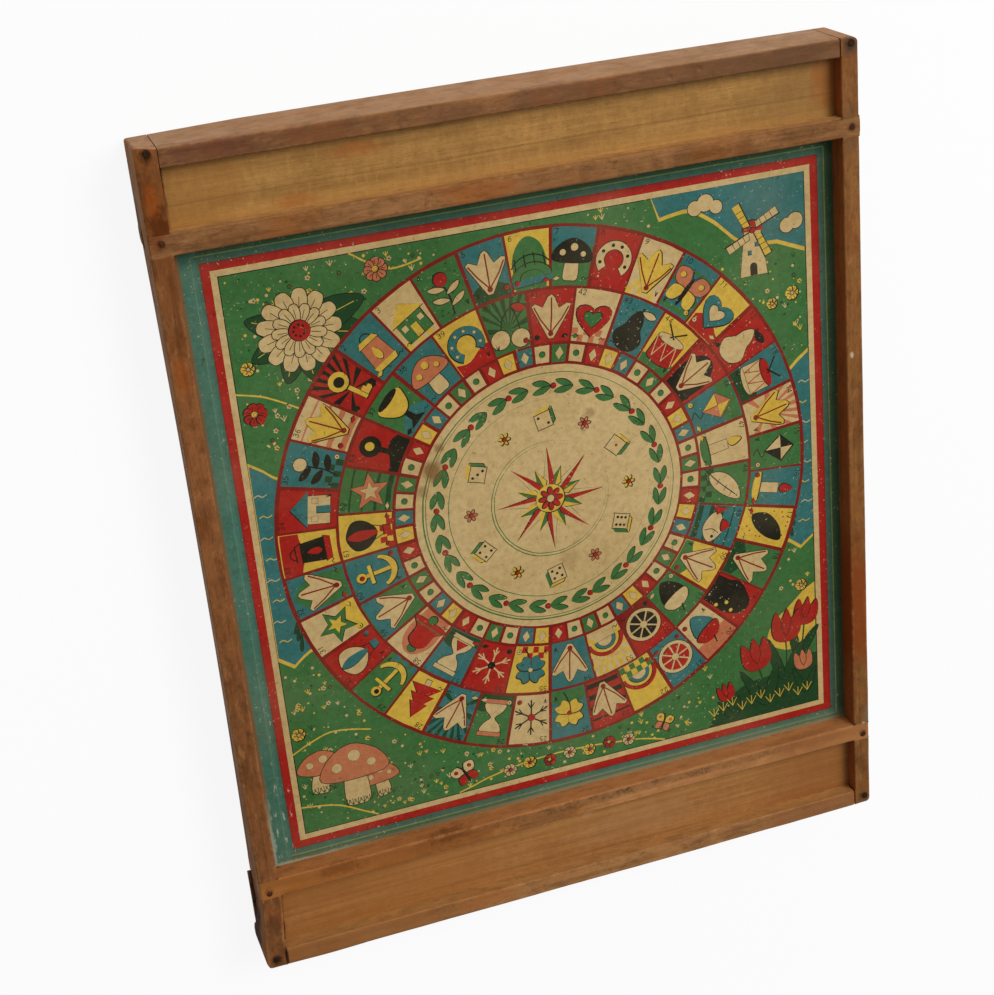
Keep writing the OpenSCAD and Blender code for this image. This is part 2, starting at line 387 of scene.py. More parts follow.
def umbrella(pen, a, b):
    pen.stroke([(0, 8), (0, -7), *arc(1.9, -7, 1.9, 180, 340, 6)], 1.0)
    rim = [(x + 2.25 * u, 1.2 * v - 0.4) for x in (6.75, 2.25, -2.25, -6.75) for u, v in SCALLOP]
    pen.fill(arc(0, -0.4, 9, 180, 0, 14, 0.95) + rim, a)
    pen.blob(both((0, 8), (2.2, 4), (2.3, 0.4)), b)


def kite(pen, a, b):
    pen.sweep([(0, -4), (2.6, -6.4), (-1.6, -8.2), (1.4, -10.4)], 0.5)
    pen.fill(both((0, 10), (6.4, 3.4), (0, -4.6)), a)
    pen.fill([(0, 9.4), (0, 3.4), (6, 3.4)], b, 0.15)
    pen.fill([(0, 3.4), (0, -4), (-6, 3.4)], b, 0.15)


def balloon(pen, a, b):
    for side in (-1, 1):
        pen.stroke([(side * 4, -1), (side * 1.6, -7)], 0.45)
    pen.blob(both((0, 10), (6.4, 7), (6.4, 1.6), (2, -3)), a)
    pen.blob(both((0, 10), (2.4, 5), (1, -3)), b, 4, 0.2)
    pen.fill(both((2.2, -6.6), (1.7, -9.8)), b)


def lantern(pen, a, b):
    pen.stroke(arc(0, 7, 2.6, 0, 180, 7), 0.6)
    pen.fill(both((3.6, 7), (5, 4.6)), b)
    pen.fill(both((4.4, 4.6), (5.4, -6)), a)
    pen.blob(both((0, 2.4), (1.7, -2), (0, -4.6)), b, 3, 0.2)
    pen.fill(both((6, -6), (5, -8.6)), b)


def goblet(pen, a, b):
    pen.fill(both((4.4, -9.4), (1.2, -7), (0.8, -1)), b)
    pen.blob(both((6.4, 8), (5.8, 2.4), (2.4, -1.8)), a)
    pen.dot(0, 8, 6.0, b, 0.3, 18, 0.25)


def hourglass(pen, a, b):
    pen.blob(both((4.8, 7.4), (4, 3.4), (0.8, 0), (4, -3.4), (4.8, -7.4)), "cream", 3)
    pen.fill([(-3, -6.6), (3, -6.6), (0, -2)], b, 0.15)
    for y in (8.4, -8.4):
        pen.fill(rect(-6, 6, y - 1, y + 1), a)


def anchor(pen, a, b):
    pen.dot(0, 7.4, 2.4, a)
    pen.dot(0, 7.4, 1.0, b, 0.3, 10)
    pen.fill(rect(-0.9, 0.9, -8, 5), a)
    pen.fill(rect(-4.6, 4.6, 2, 3.6), a)
    pen.fill(arc(0, -1.4, 7.8, 190, 350, 14) + arc(0, 0.4, 6.9, 340, 200, 12), a)


def horseshoe(pen, a, b):
    pen.fill(arc(0, 1, 8.2, -48, 228, 20) + arc(0, 1, 4.6, 228, -48, 16), a)
    for angle in (-20, 25, 70, 110, 155, 200):
        pen.dot(*around(6.4, math.radians(angle), 0, 1), 0.7, b, 0.15, 8)


def clover(pen, a, b):
    pen.sweep([(0, 0), (1, -6), (3, -10)], 0.8)
    for k in range(4):
        leaf_shape = [(0, 0), (3.6, 3.4), (7.2, 2.6), (6.4, 0), (7.2, -2.6), (3.6, -3.4)]
        pen.blob(turned(leaf_shape, math.pi / 4 + k * math.pi / 2, 0, 1), a, 3)
    pen.dot(0, 1, 1.1, b, 0.2, 8)


def snowflake(pen, a, b):
    for k in range(6):
        t = math.pi / 2 + k * math.pi / 3
        pen.stroke([(0, 0), around(9, t)], 0.9, a)
        base = around(5, t)
        for side in (-0.5, 0.5):
            pen.stroke([base, around(3, t + side, *base)], 0.7, a)
    pen.dot(0, 0, 1.8, b, 0.2, 10)


def candle(pen, a, b):
    pen.fill(rect(-2.4, 2.4, -7, 3), "cream")
    pen.blob(both((0, 10.4), (2.1, 6), (0, 3.6)), b)
    pen.blob(both((7, -6.6), (4.4, -9.6)), a, 3)


def house(pen, a, b):
    pen.fill(rect(-6.4, 6.4, -9, 1), a)
    pen.fill([(-8.4, 1), (0, 8.6), (8.4, 1)], b)
    pen.fill(rect(-1.6, 1.6, -9, -3), b, 0.25)
    for x in (-4.2, 4.2):
        pen.fill(rect(x - 1.2, x + 1.2, -3.6, -1), "cream", 0.25)


def fir(pen, a, b):
    pen.fill(rect(-1.3, 1.3, -10, -6), b)
    for y, w in ((-7, 7.6), (-2.4, 6), (2, 4.4)):
        pen.fill([(-w, y), (w, y), (0, y + 7.6)], a)


def footprint(pen, a, b):
    """A web-footed print, for the cells that send a counter on."""
    web = [
        (-1.1, -9.2), (1.1, -9.2), (8.2, 2.6), (9.2, 5.4), (7.4, 6), (3.6, 4.2), (1.6, 9.4),
        (0.4, 10.4), (-1.2, 9.4), (-3.6, 4.8), (-7.4, 6.8), (-8.8, 5.6), (-7.6, 3.2),
    ]
    pen.fill(web, a)
    for x, y in ((9, 4.6), (0.4, 9.8), (-8.6, 5.6)):
        pen.stroke([(0, -6.6), (x * 0.55, y * 0.4 - 2.6), (x * 0.9, y * 0.9)], 0.8, b)
    pen.dot(0, -7, 1.3, b, 0, 8)


def bridge(pen, a, b):
    pen.fill(rect(-9, 9, -10, -7), "blue", 0.2)
    pen.fill(arc(0, -7, 9, 180, 0, 16, 0.75) + arc(0, -7, 5.6, 0, 180, 12, 0.7), a)
    for x in (-6.6, -2.2, 2.2, 6.6):
        foot = -1.1 - abs(x) * 0.25
        pen.stroke([(x, foot), (x, foot + 5.5)])
    pen.stroke(arc(0, -3.4, 9, 160, 20, 10, 0.75))


def wheel(pen, a, b):
    pen.dot(0, 0, 8.6, a, n=26)
    pen.dot(0, 0, 6.8, b, 0.2, 24)
    for k in range(8):
        pen.stroke([(0, 0), around(7, k * math.pi / 4)], 0.9, a)
    pen.dot(0, 0, 1.9, a, 0.25, 12)


def feather(pen, a, b):
    pen.blob([(-5, -7), (-6, 0), (-1, 7), (6.6, 9.8), (5.6, 3), (1, -4)], a)
    pen.sweep([(-8, -10), (-3, -4), (5.6, 8.4)], 0.6, steps=5)
    for u, v in ((-3, -1.5), (0, 2.4), (3, 5.4)):
        pen.stroke([(u, v), (u + 2.8, v - 1.2)], 0.35)


def drum(pen, a, b):
    pen.fill(rect(-7, 7, -6, 4), a)
    pen.fill(arc(0, -6, 7, 180, 360, 12, 0.3), a)
    pen.dot(0, 4, 7, b, 0.35, 20, 0.3)
    pen.stroke([(-7 + 2.8 * k, 3 - 9 * (k % 2)) for k in range(6)], 0.5, b)
    for side in (-1, 1):
        pen.stroke([(side * 5, 10), (-side, 5)], 0.9)


def acorn(pen, a, b):
    pen.blob(both((5.4, 1), (4.4, -5), (0, -9.6)), a)
    pen.blob(both((0, 7), (5, 5.4), (6.8, 1), (0, -0.4)), b)
    pen.stroke([(0, 6.6), (1.4, 10)], 0.9)


def rainbow(pen, a, b):
    for r, n, ink in ((9, 16, "red"), (7.2, 16, "yellow"), (5.4, 16, "blue"), (3.6, 10, "cream")):
        pen.fill(arc(0, -5, r, 0, 180, n), ink, 0.25)


FIGURES = [
    star, cherries, fish, bell, daisy, umbrella, apple, key, butterfly, moon, fir, goblet, kite, clover,
    lantern, heart, acorn, anchor, mushroom, candle, snowflake, house, pear, wheel, balloon, horseshoe,
    feather, hourglass, sprig, drum, rainbow,
]

# The track: a middle in millimetres from the board's own, four rings and two loops of cells
TRACK = (4.0, 8.0)
RING_OUT, RING_MID, RING_IN, RING_HUB = 149.0, 117.0, 87.0, 76.0
OUTER_CELLS, INNER_CELLS = 36, 27
START_ANGLE = 145.0
CELL_GAP = 0.85
FIGURE_SCALE = 1.2
GROUNDS = ["yellow", "red", "blue", "cream", "green", "blue", "yellow", "green", "red", "cream", "blue"]
PAIRS = {
    "red": (("cream", "black"), ("yellow", "black"), ("cream", "blue"), ("black", "yellow")),
    "yellow": (("red", "cream"), ("black", "red"), ("green", "red"), ("blue", "cream")),
    "green": (("cream", "red"), ("yellow", "black"), ("pink", "cream"), ("black", "cream")),
    "blue": (("yellow", "red"), ("cream", "red"), ("pink", "yellow"), ("black", "cream")),
    "cream": (("blue", "red"), ("black", "red"), ("red", "green"), ("green", "yellow")),
}
SECOND_GROUND = {
    "red": ("line_red", "black"), "yellow": ("green", "red"), "green": ("dark_green", "blue"),
    "blue": ("green", "dark_green"), "cream": ("pink", "yellow"),
}
BONUS_CELLS = (5, 9, 14, 18, 23, 27, 32, 36, 41, 45, 50, 54, 59)
BRIDGE_CELL = 6


def on_track(r, angle):
    return around(r, angle, *TRACK)


def in_cell(cell, points):
    """Points of the sheet from shares across and up a cell, which is two radii and two angles."""
    r0, r1, a0, a1 = cell
    spots = []
    for across, up in points:
        r = r0 + CELL_GAP + (r1 - r0 - 2 * CELL_GAP) * up
        cut = math.degrees(CELL_GAP / r)
        spots.append(on_track(r, math.radians(a0 + cut + (a1 - a0 - 2 * cut) * across)))
    return spots


def strip(low, high, t0=0.0, t1=1.0, n=8):
    """A band across a cell between two heights, each a share or a function of the share across."""
    across = [t0 + (t1 - t0) * k / n for k in range(n + 1)]
    height = lambda edge, t: edge(t) if callable(edge) else edge
    return [(t, height(low, t)) for t in across] + [(t, height(high, t)) for t in reversed(across)]


# Grounds behind the figures: each gives its shapes as shares of the cell


def hill(phase):
    yield strip(0, lambda t: 0.27 + 0.09 * math.sin(5 * t + phase))


def far_sky(phase):
    yield strip(lambda t: 0.64 + 0.05 * math.sin(6 * t + phase), 1)


def tiles(phase):
    for row in range(2):
        for column in range(phase % 2 + row, 6, 2):
            yield strip(0.13 * row, 0.13 * (row + 1), column / 6, (column + 1) / 6, 1)


def rays(phase):
    for k in range(5):
        yield [(0.5, 0.4), (0.2 * k + 0.14, 1), (0.2 * k + 0.04, 1)]
    for side in (0, 1):
        for up in (0.1, 0.45, 0.75):
            yield [(0.5, 0.4), (side, up), (side, up + 0.12)]


def snow(phase):
    for k in range(14):
        yield [((0.37 * k + 0.1 * phase) % 0.86 + 0.07, (0.23 * k * k + 0.3 * phase) % 0.88 + 0.06)]


def arch(phase):
    yield strip(0, lambda t: 0.12 + 0.8 * math.sqrt(max(0.0, 1 - (2 * t - 1) ** 2)), 0.06, 0.94, 14)


def bands(phase):
    for k in range(4):
        shift = 0.02 * math.sin(phase + k)
        yield strip(0.06 + 0.24 * k + shift, 0.13 + 0.24 * k - shift)


def plain(phase):
    """No second colour."""
    return ()


BACKDROPS = [hill, rays, plain, tiles, snow, hill, arch, far_sky, plain, tiles, bands, hill, snow]


def draw_backdrop(sheet, cell, ink, number):
    """The second colour of a cell's ground, where a shape of one point is a dot."""
    for shape in BACKDROPS[number % len(BACKDROPS)](number):
        spots = in_cell(cell, shape)
        if len(spots) > 1:
            sheet.add(ink, spots)
        else:
            Pen(sheet, *spots[0]).dot(0, 0, 0.55, ink, 0, 7)


def extras(pen, number, ink):
    """Something small at both feet of a cell: grass, a flower, a leaf or a pebble."""
    for side in (-1, 1):
        x, kind = 7.6 * side, (number + (side > 0)) % 5
        if kind == 0:
            for lean in (-0.9, 0.0, 0.8):
                pen.stroke([(x, -11), (x + lean, -8.4)], 0.4)
        elif kind == 1:
            pen.dot(x, -10, 1.3, ink, 0.3, 8)
            pen.dot(x, -10, 0.45, "black", 0, 6)
        elif kind == 2:
            pen.fill([(x - 2, -10.8), (x, -9.4), (x + 2, -10.2), (x, -11.6)], ink, 0.3)
        elif kind == 3:
            pen.sweep([(x - 1.6, -11), (x - 0.4, -9.8), (x + 0.6, -11), (x + 1.8, -9.9)], 0.4, steps=2)


def draw_cell(sheet, number, r0, r1, a0, a1):
    ground = GROUNDS[number % len(GROUNDS)]
    cell = (r0, r1, a0, a1)
    sheet.add(ground, in_cell(cell, strip(0, 1)))
    draw_backdrop(sheet, cell, SECOND_GROUND[ground][number % 2], number)
    middle, r = math.radians((a0 + a1) / 2), (r0 + r1) / 2
    spot, turn = on_track(r - 1.2, middle), middle - math.pi / 2
    pen = Pen(sheet, *spot, turn + math.radians(5 * math.sin(number * 2.3)), FIGURE_SCALE)
    a, b = PAIRS[ground][number % 4]
    if number in BONUS_CELLS:
        footprint(pen, "cream" if ground != "cream" else "yellow", "line_red")
    elif number == BRIDGE_CELL:
        bridge(pen, a, b)
    else:
        FIGURES[(number * 7) % len(FIGURES)](pen, a, b)
    upright = Pen(sheet, *spot, turn)
    extras(upright, number, b)
    half = math.radians(abs(a1 - a0) / 2) * r1
    write_number(upright, number, 2.4 - half, r1 - r - 3.4)


def draw_track(sheet):
    sheet.add("line_red", circle(*TRACK, RING_OUT + 1.2, 150))
    loops = ((0, OUTER_CELLS, RING_MID, RING_OUT), (OUTER_CELLS, INNER_CELLS, RING_IN, RING_MID))
    for before, count, r0, r1 in loops:
        step = 360 / count
        for k in range(count):
            a1 = START_ANGLE - k * step
            draw_cell(sheet, before + k + 1, r0, r1, a1 - step, a1)
    draw_garland(sheet, 54)


def draw_garland(sheet, count):
    """A ring of small tiles between the track and the hub."""
    for k in range(count):
        a0 = START_ANGLE + k * 360 / count
        ink = ("red", "cream", "green", "cream", "blue", "yellow")[k % 6]
        sheet.add(ink, in_cell((RING_HUB, RING_IN, a0, a0 + 360 / count), strip(0, 1, n=3)))
        t = math.radians(a0 + 180 / count)
        pen = Pen(sheet, *on_track((RING_HUB + RING_IN) / 2, t), t)
        if ink == "cream":
            pen.dot(0, 0, 1.7, "green", 0.2, 10)
        else:
            pen.fill([(-3.4, 0), (0, -2.2), (3.4, 0), (0, 2.2)], "cream", 0.2)


CORNER_PIPS = [(-1, 1), (1, -1), (1, 1), (-1, -1)]
PIPS = {
    1: [(0, 0)],
    2: CORNER_PIPS[:2],
    3: [(0, 0), *CORNER_PIPS[:2]],
    4: CORNER_PIPS,
    5: [(0, 0), *CORNER_PIPS],
    6: [(-1, 0), (1, 0), *CORNER_PIPS],
}


def die(pen, value):
    """A die seen from one corner: its face, and two sides of it in shade."""
    pen.fill([(5.6, -5), (8.2, -2.6), (8.2, 7.6), (5.6, 5)], "green", 0.3)
    pen.fill([(-5, 5.6), (5, 5.6), (7.6, 8.2), (-2.4, 8.2)], "yellow", 0.3)
    pen.blob(both((5, 5.4), (5.4, 5), (5.4, -5), (5, -5.4)), "cream", 2)
    for u, v in PIPS[value]:
        pen.dot(u * 2.9, v * 2.9, 1.05, "red" if value == 1 else "black", 0, 10)


def draw_hub(sheet):
    """The pale disc in the middle: a wreath, six dice and a compass star."""
    sheet.add("cream", circle(*TRACK, RING_HUB - 0.7, 96))
    for r, line in ((71.5, 0.6), (69.8, 0.25), (57.2, 0.25), (33.4, 0.3), (31.8, 0.25)):
        sheet.add("green", circle(*TRACK, r, 90))
        sheet.add("cream", circle(*TRACK, r - line, 90))
    leaves = 32
    for k in range(leaves):
        t = 2 * math.pi * k / leaves
        pen = Pen(sheet, *on_track(63.5, t), t + math.pi / 2)
        for side in (-1, 1):
            pen.blob([(-5.5, 0), (-1, side * 3.6), (4.6, side * 3.2), (1, side * 0.6)], "green", 3, 0.3)
        if k % 2:
            pen.dot(5.6, 0, 1.5, "red", 0.25, 10)
    for k in range(6):
        t = math.pi * (k / 3 + 1 / 6)
        die(Pen(sheet, *on_track(45, t), t - math.pi / 2 + 0.25, 0.78), k + 1)
        t += math.pi / 6
        daisy(Pen(sheet, *on_track(45, t), t, 0.42), ("pink", "yellow")[k % 2], "red", 6)
    for k in range(16):
        ray = Pen(sheet, *TRACK, math.pi * k / 8)
        reach = (30, 19)[k % 2]
        ray.fill([(6, 0), (10, -3.0), (reach, 0)], ("red", "yellow")[k % 2], 0.3)
        ray.fill([(6, 0), (reach, 0), (10, 3.0)], ("cream", "green")[k % 2], 0.3)
    Pen(sheet, *TRACK).dot(0, 0, 8, "yellow", 0.4, 26)
    daisy(Pen(sheet, *TRACK, 0, 0.8), "red", "cream", 8)


def flower(sheet, x, y, r, petal, heart_ink, petals, rows=2):
    """An open flower in rows of petals."""
    for row in range(rows):
        reach = r * (1 - 0.36 * row)
        for i in range(petals):
            pen = Pen(sheet, x, y, 2 * math.pi * (i + 0.5 * row) / petals)
            w = reach * 2.4 / petals
            side = [(reach * 0.6, w), (reach * 0.93, w * 0.8)]
            pen.blob([(reach * 0.2, 0), *side, (reach, 0), *((u, -v) for u, v in reversed(side))], petal, 3)
            pen.stroke([(reach * 0.45, 0), (reach * 0.8, 0)], 0.35)
    pen = Pen(sheet, x, y)
    pen.dot(0, 0, r * 0.25, heart_ink, n=20)
    for i in range(8):
        pen.dot(*around(r * 0.14, i * 0.8), r * 0.035, "black", 0, 6)


def leaf(sheet, x, y, length, angle):
    pen = Pen(sheet, x, y, math.radians(angle), length / 10)
    pen.blob([(0, 0), (3.4, 2.2), (7, 2.0), (10, 0), (7, -1.8), (3.4, -1.9)], "dark_green")
    pen.stroke([(1, 0), (8.6, 0)], 0.4, "yellow")


def cloud(sheet, x, y, puffs):
    """A scalloped cloud: its outline first, then its inside."""
    for grow, colour in ((OUTLINE, "black"), (0.0, "cream")):
        for dx, dy, r in puffs:
            sheet.add(colour, circle(x + dx, y + dy, r + grow, 22))


def tuft(sheet, x, y, size, ink="yellow"):
    for lean in (-0.55, 0.0, 0.5):
        Pen(sheet, x, y).stroke([(0, 0), (lean * size, size * (1 - 0.3 * abs(lean)))], 0.45, ink)


def tulip(sheet, x, y, size, lean, ink="red"):
    pen = Pen(sheet, x, y, math.radians(lean), size / 10)
    for side, top in ((-1, 1), (1, -2)):
        pen.blob([(0, -17), (side * 4.6, -12), (side * 7.4, top), (side * 2, -8)], "dark_green")
    pen.sweep([(0, -17), (0.5, -8), (0, 0)], 1.0, "dark_green")
    pen.blob(both((0, -1.4), (4.8, 0.6), (5.8, 6), (4.4, 11), (2, 7.8), (0, 12)), ink, 3)
    for side in (-1, 1):
        pen.sweep([(side * 2, 7.8), (side * 1.6, 4), (0, 1)], 0.4, steps=3)


def windmill(sheet, x, y, size):
    pen = Pen(sheet, x, y, 0, size / 10)
    pen.fill(both((5.6, -15), (3.4, 2.6)), "cream")
    pen.fill(arc(0, 2.6, 4.2, 0, 180, 10), "red")
    pen.fill([(-1.5, -15), (1.5, -15), (1.5, -11.4), *arc(0, -11.4, 1.5, 0, 180, 6)], "black", 0)
    for u, v in ((-1.4, -6), (1.6, -3)):
        pen.fill(rect(u - 0.7, u + 0.7, v - 0.8, v + 0.8), "blue", 0.25)
    for k in range(4):
        sail = Pen(sheet, *pen.place([(0, 2.6)])[0], math.radians(24 + 90 * k), size / 10)
        sail.fill([(2, 0), (12, 0), (12, 3.2), (2.6, 2.6)], ("cream", "yellow")[k % 2])
        for u in (4.4, 6.8, 9.2):
            sail.stroke([(u, 0.2), (u, 2.9)], 0.35)
        sail.stroke([(0, 0), (12.4, 0)], 0.75)
    pen.dot(0, 2.6, 1.1, "red", 0.3, 10)


def draw_water(sheet, x0, x1):
    """Water at the middle of both long sides, with its shore, waves and reeds."""
    for edge, way in ((x0, 1), (x1, -1)):
        for ink, out in (("yellow", 2.0), ("blue", 0.0)):
            shore = [
                (7, 56 + out), (16, 50 + out), (30, 56 + out), (60, 44),
                (60, -40), (36, -50 - out), (20, -47 - out), (8, -55 - out),
            ]
            shore = smooth_open([(edge + way * u, v) for u, v in shore])
            sheet.add(ink, [(edge, 61 + out), *shore, (edge, -49 - out)])
        for k in range(8):
            pen = Pen(sheet, edge + way * (3.5 + 1.6 * (k % 2)), 44 - 12 * k)
            pen.sweep([(-3, 0), (-1, 0.9), (1, -0.4), (3.4, 0.5)], 0.5, ("cream", "yellow")[k % 2], 3)
        for y, tall in ((-34, 12), (-40, 17), (-30, 9), (38, 10), (43, 14)):
            pen = Pen(sheet, edge + way * (9 + 0.25 * tall), y - 6)
            reed = [(-0.9, 0), (0.9, 0), (1.2 * way, tall * 0.7), (2.2 * way, tall)]
            pen.blob(reed, "dark_green", 3, 0.25)


def draw_specks(sheet, x0, x1, y0, y1, rng):
    """Dots, tufts and tiny flowers wherever the ground is neither wet nor under the track."""
    specks = 0
    while specks < 460:
        x, y = rng.uniform(x0 + 2, x1 - 2), rng.uniform(y0 + 2, y1 - 2)
        wet = -56 < y < 62 or x > 74 and y > 118 or x > 92 and y < -80
        if wet or math.hypot(x - TRACK[0], y - TRACK[1]) <= RING_OUT + 2.4:
            continue
        kind, ink = rng.random(), rng.choice(("yellow", "cream", "yellow", "dark_green", "cream"))
        pen = Pen(sheet, x, y)
        if kind < 0.62:
            pen.dot(0, 0, rng.choice((0.4, 0.6, 0.9)), ink, 0, 6)
        elif kind < 0.85:
            tuft(sheet, x, y, rng.uniform(1.6, 3.0), ink)
        else:
            for k in range(5):
                pen.dot(*around(0.9, k * 1.26), 0.55, ink, 0, 6)
            pen.dot(0, 0, 0.45, "red", 0, 6)
        specks += 1


def draw_ground(sheet, x0, x1, y0, y1, rng):
    """Meadow and water round the track, with fields, paths and specks."""
    sheet.box("black", x0 - 0.5, x1 + 0.5, y0 - 0.5, y1 + 0.5)
    sheet.box("green", x0, x1, y0, y1)
    draw_water(sheet, x0, x1)
    ridge = [(76, 150), (92, 152), (106, 144), (122, 130), (142, 127)]
    for ink, drop, end in (("yellow", 2, 118), ("blue", 0, 120)):
        sheet.add(ink, [(x1, y1), (72, y1), *smooth_open([(x, y - drop) for x, y in ridge], 6), (x1, end)])
    field = [(151, -84), (142, -92), (132, -100), (128, -112), (140, -120), (150, -116)]
    sheet.add("yellow", [(x1, -80), *smooth_open(field, 6), (x1, -114)])
    bank = [(148, -124), (132, -133), (112, -136), (96, -146)]
    sheet.add("dark_green", [(x1, -126), *smooth_open(bank, 6), (88, y0), (x1, y0)])
    for points in (
        [(x0, -108), (-132, -100), (-110, -104)],
        [(x0, -142), (-134, -146), (-112, y0)],
        [(-64, y0), (-34, -151), (0, -149), (40, -153), (60, y0)],
        [(x0, 100), (-140, 96), (-122, 86)],
        [(-88, y1), (-70, 150), (-52, 152)],
    ):
        Pen(sheet, 0, 0).sweep(points, 0.9, "yellow", 8)
    draw_specks(sheet, x0, x1, y0, y1, rng)


TULIPS = ((101, -142, 9, 16, "red"), (151, -104, 13, -10, "red"), (139, -112, 16, -3, "red"),
          (121, -126, 16, 10, "red"), (150, -134, 10, 4, "pink"))


def draw_corners(sheet):
    for angle in (-12, 18, 160, 205, 250, 280):
        leaf(sheet, -118, 127, 36 if angle < 100 else 28, angle)
    flower(sheet, -118, 127, 21.5, "cream", "red", 13)
    flower(sheet, -76, 151, 6.0, "pink", "yellow", 8, 1)
    flower(sheet, -146, 88, 6.0, "red", "yellow", 7, 1)
    cloud(sheet, 96, 152, [(0, 0, 4), (6, 2, 4.6), (12, -1, 3.6)])
    cloud(sheet, 148, 134, [(0, 0, 4), (5, 2, 4.4)])
    windmill(sheet, 128, 131, 14)
    for x, y, size in ((-108, -136, 1.15), (-140, -122, 1.45), (-122, -128, 2.1)):
        mushroom(Pen(sheet, x, y, math.radians(x + 124) * 0.5, size), "pink", "cream")
        for k in range(5):
            tuft(sheet, x + (k - 2) * 3.2, y - 9.6 * size, 4.0, "dark_green")
    for place in TULIPS:
        tulip(sheet, *place)
    for k in range(11):
        tuft(sheet, 92 + 6 * k, -152 + 2.2 * (k % 3), 5.5)
    butterfly(Pen(sheet, -60, -147, 0.4, 0.78), "cream", "red")
    butterfly(Pen(sheet, 60, -147, -0.5, 0.6), "yellow", "pink")
    for k in range(7):
        petal, middle = (("cream", "red"), ("yellow", "red"), ("red", "yellow"))[k % 3]
        flower(sheet, -34 + 12 * k, -152 + 1.6 * (k % 2), 3.6, petal, middle, 6, 1)
    for x, y, r in ((-146, 112, 3.4), (-149, -97, 3.6), (150, 96, 3.8), (138, 92, 3.0), (150, -80, 3.4)):
        flower(sheet, x, y, r, "yellow", "cream", 6, 1)


# The print's frame: the outline of its red line in millimetres, and how far each band reaches past it
RED_LINE = (-161.3, 166.2, -166.0, 168.8)
PRINT_BANDS = (("fine_line", 4.5), ("margin_blue", 3.8), ("line_red", 0.45), ("red", 0.0), ("cream", -4.1),
               ("black", -7.4))
GROUND_INSIDE = 7.8


def out_by(box, by):
    """A box moved outwards on all four sides."""
    x0, x1, y0, y1 = box
    return (x0 - by, x1 + by, y0 - by, y1 + by)


def draw_print():
    """The whole sheet: bands, ground, corners, track and hub."""
    sheet = Sheet()
    lo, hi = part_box("printed_sheet")
    sheet.box("margin_green", lo[0] / MM, hi[0] / MM, lo[1] / MM, hi[1] / MM)
    for ink, out in PRINT_BANDS:
        sheet.box(ink, *out_by(RED_LINE, out))
    draw_ground(sheet, *out_by(RED_LINE, -GROUND_INSIDE), random.Random(21))
    draw_corners(sheet)
    draw_track(sheet)
    draw_hub(sheet)
    return sheet


def spread(layers, spots, triangles, owners):
    """The shapes that the triangulation let run out far past their outline."""
    covered = [0.0] * len(layers)
    for (a, b, c), owner in zip(triangles, owners):
        size = abs((spots[b] - spots[a]).cross(spots[c] - spots[a])) / 2
        for k in owner:
            covered[k] += size
    leaky = set()
    for k, (_, shape) in enumerate(layers):
        own = abs(sum(p[0] * q[1] - q[0] * p[1] for p, q in zip(shape, shape[1:] + shape[:1]))) / 2
        if covered[k] > 2 * own + 2:
            leaky.add(k)
    return leaky


def sheet_object(sheet):
    """One closed sheet whose top is cut along the edge of every ink."""
    points, faces = [], []
    for _, outline in sheet.layers:
        faces.append(list(range(len(points), len(points) + len(outline))))
        points += [Vector(p) for p in outline]
    lo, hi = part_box("printed_sheet")
    spots, _, triangles, _, _, owners = delaunay_2d_cdt(points, [], faces, 1, 1e-4, True)
    leaky = spread(sheet.layers, spots, triangles, owners)
    bm = bmesh.new()
    colour = bm.loops.layers.float_color.new("ink")
    made = [bm.verts.new((p.x * MM, p.y * MM, hi[2])) for p in spots]
    for corners, owner in zip(triangles, owners):
        if not owner:
            continue
        face = bm.faces.new([made[c] for c in corners])
        ink = INKS[sheet.layers[max(k for k in owner if k not in leaky)][0]]
        for loop in face.loops:
            loop[colour] = rgba(ink)
    bmesh.ops.recalc_face_normals(bm, faces=bm.faces)
    if bm.faces[0].normal.z < 0:
        bmesh.ops.reverse_faces(bm, faces=bm.faces)
    rim = [e for e in bm.edges if e.is_boundary]
    side = bmesh.ops.extrude_edge_only(bm, edges=rim)["geom"]
    for v in side:
        if isinstance(v, bmesh.types.BMVert):
            v.co.z = lo[2]
    bottom_rim = [e for e in side if isinstance(e, bmesh.types.BMEdge) and e.is_boundary]
    bmesh.ops.holes_fill(bm, edges=bottom_rim, sides=0)
    bmesh.ops.delete(bm, geom=[v for v in bm.verts if not v.link_faces], context="VERTS")
    bmesh.ops.recalc_face_normals(bm, faces=bm.faces)
    return add_object("printed_track_sheet", bm)


def add_object(name, bm, smooth_angle=35):
    mesh = bpy.data.meshes.new(name)
    bm.to_mesh(mesh)
    bm.free()
    mesh.shade_smooth()
    mesh.set_sharp_from_angle(angle=math.radians(smooth_angle))
    obj = bpy.data.objects.new(name, mesh)
    bpy.context.scene.collection.objects.link(obj)
    return obj


# Worn wooden pieces, cut from the frame's own solids


def steps(lo, hi, pitch):
    n = max(1, round((hi - lo) / pitch))
    return [lo + (hi - lo) * i / n for i in range(1, n)]


def cut_across(bm, axis, places):
    normal = [0.0, 0.0, 0.0]
    normal[axis] = 1.0
    for place in places:
        point = [0.0, 0.0, 0.0]
        point[axis] = place
        everything = bm.verts[:] + bm.edges[:] + bm.faces[:]
        bmesh.ops.bisect_plane(bm, geom=everything, dist=1e-7, plane_co=point, plane_no=normal)


def ramped(value, low, high):
    """0 below low, 1 above high, straight between them."""
    return min(1.0, max(0.0, (value - low) / (high - low)))


# How far wear reaches from an edge and from a corner, and how far from a seam it is whole again
EDGE_REACH, CORNER_REACH, SEAM_REACH = 2.0 * MM, 3.0 * MM, 3.0 * MM


